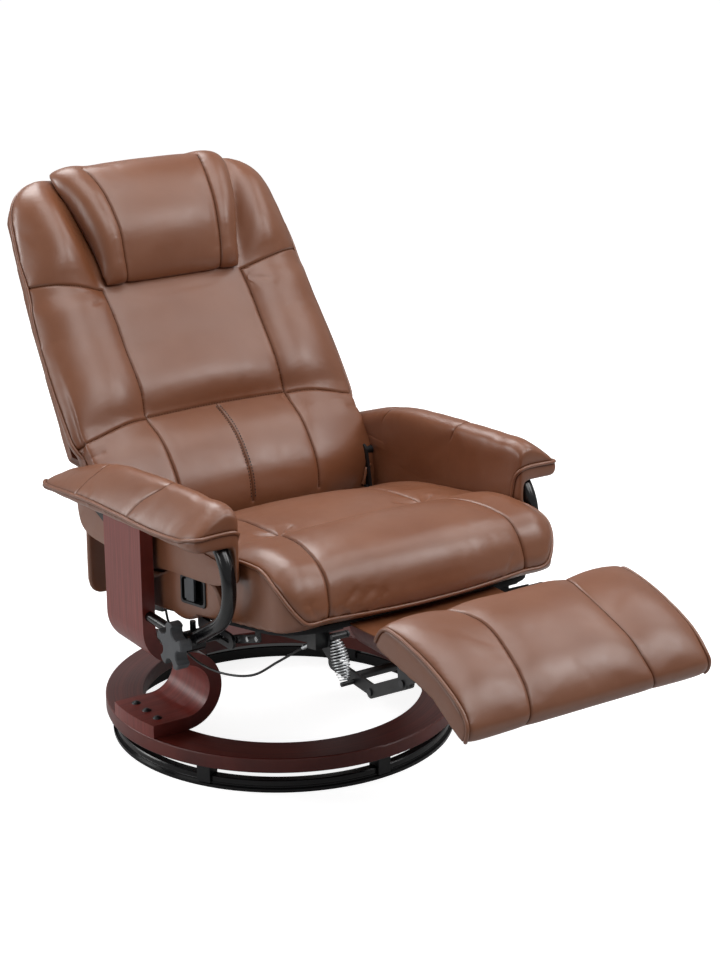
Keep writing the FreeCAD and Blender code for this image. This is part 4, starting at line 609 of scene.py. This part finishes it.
def makePly(look):
    finish, tree, shader, place = newFinish("birchPlywoodBare")
    apart = addNode(tree, "ShaderNodeSeparateXYZ", {0: place})
    layer = addNode(tree, "ShaderNodeMath", {0: apart.outputs[2], 1: 1000 / look["plyMm"]}, operation="MULTIPLY")
    layer = addNode(tree, "ShaderNodeMath", {0: layer.outputs[0]}, operation="FRACT")
    grain = addNode(tree, "ShaderNodeMapping", {"Vector": place, "Scale": (1, 14, 14)})
    fibre = addNode(tree, "ShaderNodeTexNoise", {"Vector": grain.outputs[0], "Scale": 22, "Detail": 4})
    both = addNode(tree, "ShaderNodeMath", {0: layer.outputs[0], 1: 0.35, 2: fibre.outputs[0]},
                   operation="MULTIPLY_ADD")
    tone = rampOf(tree, both.outputs[0], (0.45, look["colour"]), (0.9, look["darker"]))
    tree.links.new(tone, shader.inputs["Base Color"])
    shader.inputs["Roughness"].default_value = look["roughness"]
    bumpFrom(tree, shader, fibre.outputs[0], 0.1)
    return finish


def makeDustCloth(look):
    finish, tree, shader, place = newFinish("polypropyleneSpunbond")
    fibre = addNode(tree, "ShaderNodeTexNoise", {"Vector": place, "Scale": 1000 / look["fibreMm"], "Detail": 4})
    tone = rampOf(tree, fibre.outputs[0], (0.3, look["colour"]), (0.75, look["paler"]))
    tree.links.new(tone, shader.inputs["Base Color"])
    shader.inputs["Roughness"].default_value = 0.9
    bumpFrom(tree, shader, fibre.outputs[0], 0.15)
    return finish


leather = makeLeather(leatherLook)
plankWood = makeWood("mahoganyStainedPlywood", woodLook)
ringWood = makeWood("mahoganyStainedRing", ringLook, ring=True)
enamel = makeCoated("steelBlackEnamel", enamelLook)
powder = makeCoated("steelBlackPowderCoat", powderLook)
zinc = makeZinc(zincLook)
nylon = makeMoulded("nylonGreyMoulded", nylonLook)
blackAbs = makeMoulded("absBlackMoulded", absLook)
plywood = makePly(plyLook)
dustCloth = makeDustCloth(clothLook)
oxide = makeCoated("steelBlackOxide", oxideLook)
nodeFinishes = {
    "wood_ring": ringWood, "side_plank_": plankWood, "arm_board_": plywood, "seat_board": dustCloth,
    "back_board": leather, "footrest_board": dustCloth, "arm_tube_": enamel, "floor_ring": enamel,
    "barrel_spring_": zinc, "clamp_bolts": zinc, "seat_pivot_pins": zinc, "arm_root_pins": oxide,
    "arm_knee_pins": oxide, "arm_end_pins": oxide, "brace_screws": zinc, "paddle_axle": zinc,
    "cable_ferrules": zinc, "star_knob_": nylon, "release_paddle": nylon, "guide_shoes": blackAbs,
    "handle_bezel": blackAbs, "release_cable": blackAbs, "latch_housing": blackAbs}
for nodeName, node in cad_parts.items():
    finish = next((f for start, f in nodeFinishes.items() if nodeName.startswith(start)), powder)
    for slot in node.material_slots:
        slot.material = finish
print("finishes on", len(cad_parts), "nodes")

# A welted seam of any cushion, in mm: shadowed on both sides of the cord
weltSeam = {"deep": 1.6, "wide": 3.0, "ripple": 0.3, "darkWide": 4.4}

# Seat: crowned bag over a board, three panels across, crossing seam amid its top
seatLook = {"simulated": True, "voxel": 6, "ease": 4, "startInside": 4, "pressure": 4, "slack": -0.01,
            "stiffness": 8, "bending": 0.5, "farthest": 24, "loose": 0.22, "proud": 2.0, "within": 7,
            "stapleBand": 30, "boardSide": (0, 0, -1), "bulges": [], "calm": 5, "seamDeep": 2.6,
            "seamWide": 2.6, "ripple": 0.4, "dent": 0.5, "dentSize": 75, "fill": 0.75}
# from the crossing amid its top out over the nose, and the welt round its sides
seatSeams = {
    "front": [(0.150, -0.24, 0.47), (0.173, -0.297, 0.488), (0.185, -0.364, 0.501), (0.195, -0.432, 0.493),
              (0.197, -0.462, 0.469), (0.200, -0.478, 0.437), (0.202, -0.480, 0.399)],
    "cross": [(-0.150, -0.24, 0.47), (-0.07, -0.246, 0.472), (0, -0.248, 0.474), (0.07, -0.246, 0.472),
              (0.150, -0.24, 0.47)],
    "rear": [(0.150, -0.24, 0.47), (0.152, -0.19, 0.466), (0.148, -0.10, 0.45), (0.152, 0, 0.42),
             (0.160, 0.075, 0.39)],
    "side": [(0.286, 0.075, 0.40), (0.286, 0.0, 0.42), (0.286, -0.07, 0.434), (0.286, -0.243, 0.463),
             (0.288, -0.371, 0.486), (0.287, -0.402, 0.483), (0.283, -0.443, 0.462), (0.272, -0.464, 0.438),
             (0.253, -0.476, 0.413), (0.239, -0.483, 0.402), (0.202, -0.486, 0.400), (0.10, -0.492, 0.401),
             (0.0, -0.494, 0.402)]}
# short puckers round the crossing and slack creases low on the nose, each fading out at its ends
seatCreases = {
    "pucker": [[(0.150, -0.240, 0.47), (0.168, -0.224, 0.468), (0.196, -0.206, 0.462)],
               [(0.150, -0.240, 0.47), (0.176, -0.243, 0.471), (0.210, -0.254, 0.472)],
               [(0.150, -0.240, 0.47), (0.130, -0.222, 0.468), (0.100, -0.210, 0.466)],
               [(0.150, -0.240, 0.47), (0.134, -0.264, 0.474), (0.118, -0.298, 0.480)],
               [(0.150, -0.240, 0.47), (0.174, -0.266, 0.474), (0.204, -0.296, 0.484)]],
    "nose": [[(-0.188, -0.478, 0.408), (-0.166, -0.483, 0.432), (-0.140, -0.478, 0.455)],
             [(-0.160, -0.482, 0.406), (-0.140, -0.487, 0.428), (-0.112, -0.482, 0.450)],
             [(-0.128, -0.486, 0.405), (-0.110, -0.490, 0.424), (-0.088, -0.488, 0.440)],
             [(-0.222, -0.476, 0.408), (-0.236, -0.472, 0.430), (-0.240, -0.462, 0.448)],
             [(0.150, -0.484, 0.406), (0.166, -0.482, 0.428), (0.184, -0.474, 0.446)]]}
seatLines = [{"path": seatSeams["front"]}, {"path": mirrorPath(seatSeams["front"])},
             {"path": seatSeams["rear"]}, {"path": mirrorPath(seatSeams["rear"])},
             {"path": seatSeams["cross"], "deep": 3.4, "ripple": 1.0},
             {"path": seatSeams["side"], **weltSeam}, {"path": mirrorPath(seatSeams["side"]), **weltSeam}]
for path in seatCreases["pucker"]:
    seatLines += [{"path": line, "deep": 2.6, "wide": 5, "dark": 0.15, "fade": 26, "oneEnd": True}
                  for line in bothSides(path)]
seatLines += [{"path": path, "deep": 1.0, "wide": 6, "dark": 0, "fade": 18} for path in seatCreases["nose"]]
seatLaid = makeCushion("seatCushion", "seat_cushion", "seat", seatLook, seatLines)[1]
makeWelt("seatWelt", seatLaid[5:7], "seat")

# Seat board: corners sawn round, edges covered with the black dust cloth of the underside, a dark sheet put there as
# painted shade under the seat's welt
boardLook = {"cornerRound": 85, "edgeRound": 2.5}


def makeSeatBoard(look):
    board = copyNode("seat_board", "seatBoardCovered")
    makeActive(board)
    bpy.ops.object.mode_set(mode="EDIT")
    bpy.ops.mesh.select_all(action="SELECT")
    bpy.ops.mesh.dissolve_limited(angle_limit=math.radians(1))
    shape = bmesh.from_edit_mesh(board.data)
    # the short edges across the thickness at the front corners
    front = min(v.co.y for v in shape.verts)
    for edge in shape.edges:
        a, b = (v.co for v in edge.verts)
        edge.select_set(abs(a.x - b.x) < 1e-4 and max(a.y, b.y) < front + 0.012 and (a - b).length < 0.02)
    bmesh.update_edit_mesh(board.data)
    bpy.ops.mesh.bevel(offset=look["cornerRound"] * mm, segments=8)
    bpy.ops.object.mode_set(mode="OBJECT")
    easeEdges(board, look["edgeRound"])
    shadeAndCoat(board, 35, dustCloth)
    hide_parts("seat_board")
    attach(board, "seat")


makeSeatBoard(boardLook)

# Places on the back are x from the middle, height up its front plane and stand-off from it, so that
# the same numbers follow a change of lean
backPlane = {"footY": 0.229, "footZ": 0.565, "leanDegrees": 35.7}


def onBack(x, up, off):
    lean = math.radians(backPlane["leanDegrees"])
    return Vector((x, backPlane["footY"] + up * math.sin(lean) - off * math.cos(lean),
                   backPlane["footZ"] + up * math.cos(lean) + off * math.sin(lean)))


# Back: bag with a hollow middle panel, two wings and a crowned lumbar in two halves
backLook = dict(seatLook, ease=3, stapleBand=25, boardSide=onBack(0, 0, -1) - onBack(0, 0, 0), seamDeep=2.4,
                ripple=0.35, dentSize=85)
backSeams = {
    "panelSide": [(0.151, 0.263, 0), (0.151, 0.208, 0.008), (0.151, 0.149, 0.012), (0.151, 0.082, 0.014),
                  (0.151, 0.0, 0.004)],
    "lumbarSide": [(0.151, 0.0, 0.004), (0.150, -0.034, 0.022), (0.150, -0.070, 0.035), (0.150, -0.117, 0.041),
                   (0.150, -0.162, 0.039), (0.150, -0.205, 0.012)],
    "lumbarTop": [(-0.151, 0.0, 0.004), (0, 0.002, 0.004), (0.151, 0.0, 0.004)],
    "middle": [(0, 0.0, 0.004), (0, -0.034, 0.027), (0, -0.070, 0.041), (0, -0.117, 0.046), (0, -0.162, 0.042),
               (0, -0.205, 0.016)],
    "upperWing": [(0.151, 0.263, 0), (0.20, 0.271, 0.012), (0.25, 0.282, 0.012), (0.297, 0.293, -0.012)],
    "lowerWing": [(0.151, -0.003, 0.004), (0.20, -0.010, 0.014), (0.26, -0.024, 0.012), (0.311, -0.037, -0.012)],
    "welt": [(0.258, -0.205, -0.018), (0.263, -0.160, -0.014), (0.266, -0.112, -0.014), (0.281, -0.072, -0.015),
             (0.303, -0.040, -0.015), (0.312, -0.005, -0.015), (0.311, 0.078, -0.019), (0.307, 0.202, -0.023),
             (0.297, 0.293, -0.015), (0.295, 0.352, -0.018), (0.290, 0.404, -0.018), (0.273, 0.474, -0.027),
             (0.245, 0.506, -0.040), (0.215, 0.514, -0.040), (0.12, 0.514, -0.038), (0, 0.514, -0.037)]}
# the wings stand as high as the pillow's edge beside it
backLook["bulges"] = [
    {"at": onBack(side * 0.212, up, 0.01), "half": (0.055, long, 0.2), "high": high,
     "axes": [(1, 0, 0), onBack(0, 1, 0) - onBack(0, 0, 0), onBack(0, 0, 1) - onBack(0, 0, 0)]}
    for side in (1, -1) for up, long, high in ((0.425, 0.07, 17), (0.345, 0.06, 15))]
# and the foot of each side reaches out to the arm
backLook["bulges"] += [
    {"at": onBack(side * 0.262, -0.150, -0.015), "half": (0.13, 0.12, 0.10), "high": 95, "reach": 0.031,
     "axes": [onBack(0, 1, 0) - onBack(0, 0, 0), onBack(0, 0, 1) - onBack(0, 0, 0), (side, 0, 0)]}
    for side in (1, -1)]
backCreases = [[(0.309, -0.052, -0.012), (0.285, -0.062, 0.004), (0.255, -0.058, 0.012)],
               [(0.160, 0.238, 0.004), (0.180, 0.232, 0.010), (0.206, 0.222, 0.012)]]
backPaths = {name: [onBack(*p) for p in path] for name, path in backSeams.items()}
backLines = []
for name in ("panelSide", "lumbarSide", "upperWing", "lowerWing"):
    backLines += [{"path": line} for line in bothSides(backPaths[name])]
backLines += [{"path": backPaths["lumbarTop"]}, {"path": backPaths["middle"], "deep": 1.8, "ripple": 0.6}]
backLines += [{"path": line, **weltSeam} for line in bothSides(backPaths["welt"])]
for path in backCreases:
    backLines += [{"path": line, "deep": 1.2, "wide": 5, "dark": 0, "fade": 20}
                  for line in bothSides([onBack(*p) for p in path])]
back, backLaid = makeCushion("backCushion", "back_cushion", "back", backLook, backLines)
makeWelt("backWelt", backLaid[10:12], "back")

# Head pillow: three panels over the top of the back
pillowLook = dict(backLook, voxel=5, farthest=22, dentSize=70, fill=0.8, bulges=[])
pillowSeams = {
    "side": [(0.125, 0.504, 0.032), (0.120, 0.478, 0.046), (0.114, 0.440, 0.058), (0.109, 0.394, 0.064),
             (0.105, 0.350, 0.058), (0.104, 0.302, 0.035), (0.102, 0.266, 0.006)]}
pillowLines = [{"path": line} for line in bothSides([onBack(*p) for p in pillowSeams["side"]])]
makeCushion("headPillow", "head_pillow", "back", pillowLook, pillowLines)

# Footrest: three panels, welted sides
footLook = dict(seatLook, voxel=5, dent=0.35, ripple=0.25)
footrestSeams = {
    "side": [(0.121, -0.668, 0.462), (0.121, -0.682, 0.481), (0.104, -0.774, 0.478), (0.112, -0.874, 0.439),
             (0.116, -0.909, 0.407), (0.126, -0.918, 0.356)],
    "welt": [(0.240, -0.668, 0.440), (0.242, -0.700, 0.473), (0.242, -0.771, 0.463), (0.242, -0.841, 0.441),
             (0.242, -0.902, 0.409), (0.242, -0.918, 0.385), (0.240, -0.910, 0.351)]}
footLines = [{"path": line, "deep": 2.0} for line in bothSides(footrestSeams["side"])]
footLines += [{"path": line, **weltSeam} for line in bothSides(footrestSeams["welt"])]
footLaid = makeCushion("footrestCushion", "footrest_cushion", "footrest", footLook, footLines)[1]
makeWelt("footrestWelt", footLaid[2:4], "footrest")

# Arm pads: welt along the outer edge and round the front, two seams across
armLook = dict(seatLook, voxel=5, startInside=3, farthest=18, proud=1.5, within=5, seamDeep=1.8, dentSize=60,
               ripple=0.35, fill=0.65)
armSeams = {
    "rearCross": [(-0.379, 0.085, 0.497), (-0.355, 0.081, 0.522), (-0.321, 0.071, 0.540), (-0.300, 0.078, 0.536),
                  (-0.287, 0.095, 0.510)],
    "frontCross": [(-0.379, -0.105, 0.508), (-0.355, -0.120, 0.540), (-0.324, -0.154, 0.566),
                   (-0.300, -0.148, 0.562), (-0.287, -0.130, 0.530)],
    "welt": [(-0.300, 0.246, 0.474), (-0.345, 0.244, 0.472), (-0.366, 0.225, 0.476), (-0.376, 0.175, 0.484),
             (-0.380, 0.06, 0.499), (-0.380, -0.06, 0.506), (-0.380, -0.18, 0.510), (-0.380, -0.285, 0.522),
             (-0.378, -0.318, 0.531), (-0.368, -0.343, 0.536), (-0.340, -0.348, 0.538), (-0.305, -0.347, 0.538),
             (-0.290, -0.343, 0.532), (-0.287, -0.330, 0.515), (-0.287, -0.322, 0.47), (-0.287, -0.318, 0.445)]}
armCross = {"deep": 1.1, "dark": 0.7, "fade": 24, "oneEnd": True}
armStyles = {"rearCross": armCross, "frontCross": armCross, "welt": {"deep": 1.4, "darkWide": 4.6}}
for side, flip in (("right", False), ("left", True)):
    armLines = [{"path": mirrorPath(line) if flip else line, **armStyles[name]} for name, line in armSeams.items()]
    armLaid = makeCushion("armPad" + side.capitalize(), "arm_pad_" + side, "base", armLook, armLines)[1]
    makeWelt("armWelt" + side.capitalize(), armLaid[2:3], "base")

# Outer back: a padded panel on the rear of the board, with two upright seams
shellLook = dict(backLook, simulated=False, bulges=[], voxel=5, proud=1.5, within=4, stapleBand=12,
                 boardSide=onBack(0, 0, 1) - onBack(0, 0, 0), seamDeep=1.8, ripple=0.3, fill=0.5)
shellSeams = {"upright": [(0.165, -0.20, -0.085), (0.175, 0.0, -0.085), (0.18, 0.2, -0.085), (0.17, 0.40, -0.085),
                          (0.160, 0.485, -0.085)]}
shellLines = [{"path": line} for line in bothSides([onBack(*p) for p in shellSeams["upright"]])]
makeCushion("outerBack", "back_cover", "back", shellLook, shellLines)

# Rear skirt: a thin padded panel with a hem stitched round it
skirtLook = dict(shellLook, voxel=4, ease=2, proud=1, within=2, stapleBand=4, boardSide=(0, -1, 0),
                 seamDeep=0.9, seamWide=1.8, fill=0.9)
skirtSeams = {"hem": [(-0.244, 0.293, 0.47), (-0.244, 0.293, 0.27), (-0.238, 0.293, 0.240), (-0.222, 0.293, 0.226),
                      (-0.19, 0.293, 0.225), (0.19, 0.293, 0.225), (0.222, 0.293, 0.226), (0.238, 0.293, 0.240),
                      (0.244, 0.293, 0.27), (0.244, 0.293, 0.47)]}
makeCushion("rearSkirt", "rear_skirt", "skirt", skirtLook, [{"path": skirtSeams["hem"], "dark": 0.5}])

# Release cable: black sheathed Bowden cable, slack between its two ferrules
cableLook = {"radius": 2.2, "path": [(-0.275, -0.052, 0.300), (-0.2735, -0.060, 0.276), (-0.270, -0.088, 0.246),
                                     (-0.262, -0.145, 0.226), (-0.251, -0.215, 0.227), (-0.238, -0.290, 0.248),
                                     (-0.222, -0.346, 0.288), (-0.206, -0.402, 0.330)]}


def makeCable(look):
    cable = makeWelt("releaseCable", [smoothPath(look["path"], 2 * seamStep)], "seat", look["radius"] * mm, blackAbs)
    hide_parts("release_cable")


makeCable(cableLook)

# Pod: leather glued over a moulded box at the seat's right, edges eased, opening kept for the bezel
podLook = {"edgeRound": 2.4, "segments": 3, "sharpDegrees": 38}


def makePod(look):
    pod = copyNode("side_pod", "sidePod")
    easeEdges(pod, look["edgeRound"], look["sharpDegrees"], look["segments"])
    shadeAndCoat(pod, 40, leather)
    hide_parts("side_pod")
    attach(pod, "seat")


makePod(podLook)

# Flap: one leather web from the seat board to the footrest board, slack in its middle
flapLook = {"half": 0.150, "rearY": -0.4595, "rearZ": 0.3795, "frontY": -0.6725, "frontZ": 0.4185, "sag": 0.013,
            "waist": 0.012, "thick": 2.2, "edgeRound": 0.7, "ripple": 1.6, "ripplesPerWidth": 14, "columns": 60,
            "rows": 44}


def makeFlap(look):
    deselectAll()
    bpy.ops.mesh.primitive_grid_add(x_subdivisions=look["columns"], y_subdivisions=look["rows"], size=1,
                                    location=(0, 0, 0))
    flap = bpy.context.object
    flap.name = "footrestFlap"
    points = meshPoints(flap.data)
    for i, (u, v, _) in enumerate(points):
        t = v + 0.5
        hang = math.sin(math.pi * t)
        wave = noise.noise(Vector((u * look["ripplesPerWidth"], 0.3, 2.0)))
        gather = wave * look["ripple"] * mm * (0.35 + hang)  # a third of it still at the staples
        points[i] = (u * 2 * look["half"] * (1 - look["waist"] * hang),
                     look["rearY"] + t * (look["frontY"] - look["rearY"]),
                     look["rearZ"] + t * (look["frontZ"] - look["rearZ"]) - look["sag"] * hang + gather)
    setPoints(flap.data, points)
    applyModifier(flap, "SOLIDIFY", thickness=look["thick"] * mm, offset=0)
    easeEdges(flap, look["edgeRound"])
    shadeAndCoat(flap, 40, leather)
    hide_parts("footrest_flap")
    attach(flap, "seat")
    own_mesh(flap)


makeFlap(flapLook)
print("flap and pod made")

# Inner arm panels: a single skin below each pad, holed for the bracket's boss; the right one hangs outside the pod
panelLook = {"x": {"Right": 0.3025, "Left": 0.2885}, "thick": 3.2, "edgeRound": 1.0, "bossY": 0.1293,
             "bossZ": 0.4501, "bossHole": 0.0086, "holeCorners": 24,
             "outline": [(-0.300, 0.470), (-0.300, 0.430), (-0.150, 0.405), (0.020, 0.382), (0.150, 0.376),
                         (0.200, 0.384), (0.220, 0.410), (0.228, 0.478)]}


def makeArmPanel(look, side, sign):
    x = sign * look["x"][side]
    mesh = bmesh.new()
    outer = [mesh.verts.new(q) for q in smoothPath([Vector((x, *p)) for p in look["outline"]], 4 * seamStep)]
    hole = [mesh.verts.new((x, look["bossY"] + look["bossHole"] * math.cos(a),
                            look["bossZ"] + look["bossHole"] * math.sin(a)))
            for a in np.linspace(0, 2 * math.pi, look["holeCorners"], endpoint=False)]
    edges = [mesh.edges.new(pair) for pair in zip(outer, outer[1:] + outer[:1])]
    edges += [mesh.edges.new(pair) for pair in zip(hole, hole[1:] + hole[:1])]
    bmesh.ops.triangle_fill(mesh, edges=edges, use_beauty=True)
    bmesh.ops.subdivide_edges(mesh, edges=mesh.edges[:], cuts=2, use_grid_fill=True)
    data = bpy.data.meshes.new("armPanel" + side)
    mesh.to_mesh(data)
    mesh.free()
    panel = bpy.data.objects.new("armPanel" + side, data)
    bpy.context.scene.collection.objects.link(panel)
    applyModifier(panel, "SOLIDIFY", thickness=look["thick"] * mm, offset=0)
    faceOutward(panel)
    easeEdges(panel, look["edgeRound"])
    shadeAndCoat(panel, 40, leather)
    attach(panel, "base")


makeArmPanel(panelLook, "Right", -1)
makeArmPanel(panelLook, "Left", 1)


def makeSpring(side):
    spring = copyNode("barrel_spring_" + side, "barrelSpring" + side.capitalize())
    shadeAndCoat(spring, 50, zinc)
    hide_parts("barrel_spring_" + side)
    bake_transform(spring)


makeSpring("left")
makeSpring("right")
print("springs made")

# Twin topstitching beside the middle seam of the lumbar: thread drawn 2 mm thick, 6 mm apart, coarse enough to show
stitchLook = {"aside": 4.4, "pitch": 6.0, "long": 3.6, "radius": 1.0, "lift": 0.35, "sides": 6, "straight": 0.6,
              "endRadius": 0.45, "skipped": 4}
# Bonded polyester thread: dark brown, dull, twisted
threadLook = {"colour": "#1c0e09", "roughness": 0.6, "grainMm": 0.8, "grainDepthMm": 0.05}


def makeStitches(surface, line, look):
    deselectAll()
    bpy.ops.mesh.primitive_cylinder_add(vertices=look["sides"], radius=look["radius"] * mm,
                                        depth=look["long"] * mm * look["straight"])
    one = bpy.context.object
    bpy.ops.object.mode_set(mode="EDIT")
    for up in (1, -1):
        bpy.ops.mesh.select_all(action="DESELECT")
        shape = bmesh.from_edit_mesh(one.data)
        for face in shape.faces:
            face.select_set(face.normal.z * up > 0.9)
        bmesh.update_edit_mesh(one.data)
        tipLong = look["long"] * mm * (1 - look["straight"]) / 2
        bpy.ops.mesh.extrude_region_move(TRANSFORM_OT_translate={"value": (0, 0, up * tipLong)})
        bpy.ops.transform.resize(value=(look["endRadius"], look["endRadius"], 1))
    bpy.ops.object.mode_set(mode="OBJECT")
    shape, faces = meshPoints(one.data), [list(f.vertices) for f in one.data.polygons]
    bpy.data.objects.remove(one)
    points, polygons = [], []
    every = max(1, round(look["pitch"] * mm / seamStep))
    for i in range(look["skipped"], len(line) - look["skipped"], every):
        along = (line[i + 2] - line[i - 2]).normalized()
        for hand in (-1, 1):
            near, normal, _, _ = surface.find_nearest(line[i] + Vector((hand * look["aside"] * mm, 0, 0)))
            across = normal.cross(along).normalized()
            turn = np.array([across, normal, along])
            start = len(points)
            points += [tuple(q) for q in shape @ turn + np.array(near + normal * look["lift"] * mm)]
            polygons += [[v + start for v in f] for f in faces]
    data = bpy.data.meshes.new("lumbarStitches")
    data.from_pydata(points, [], polygons)
    thread = bpy.data.objects.new("lumbarStitches", data)
    bpy.context.scene.collection.objects.link(thread)
    faceOutward(thread)
    bpy.ops.object.shade_smooth()
    data.materials.append(threadFinish)
    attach(thread, "back")


threadFinish = makeMoulded("polyesterThreadBonded", threadLook)
makeStitches(surfaceOf(back), backLaid[9], stitchLook)
print("stitches made")
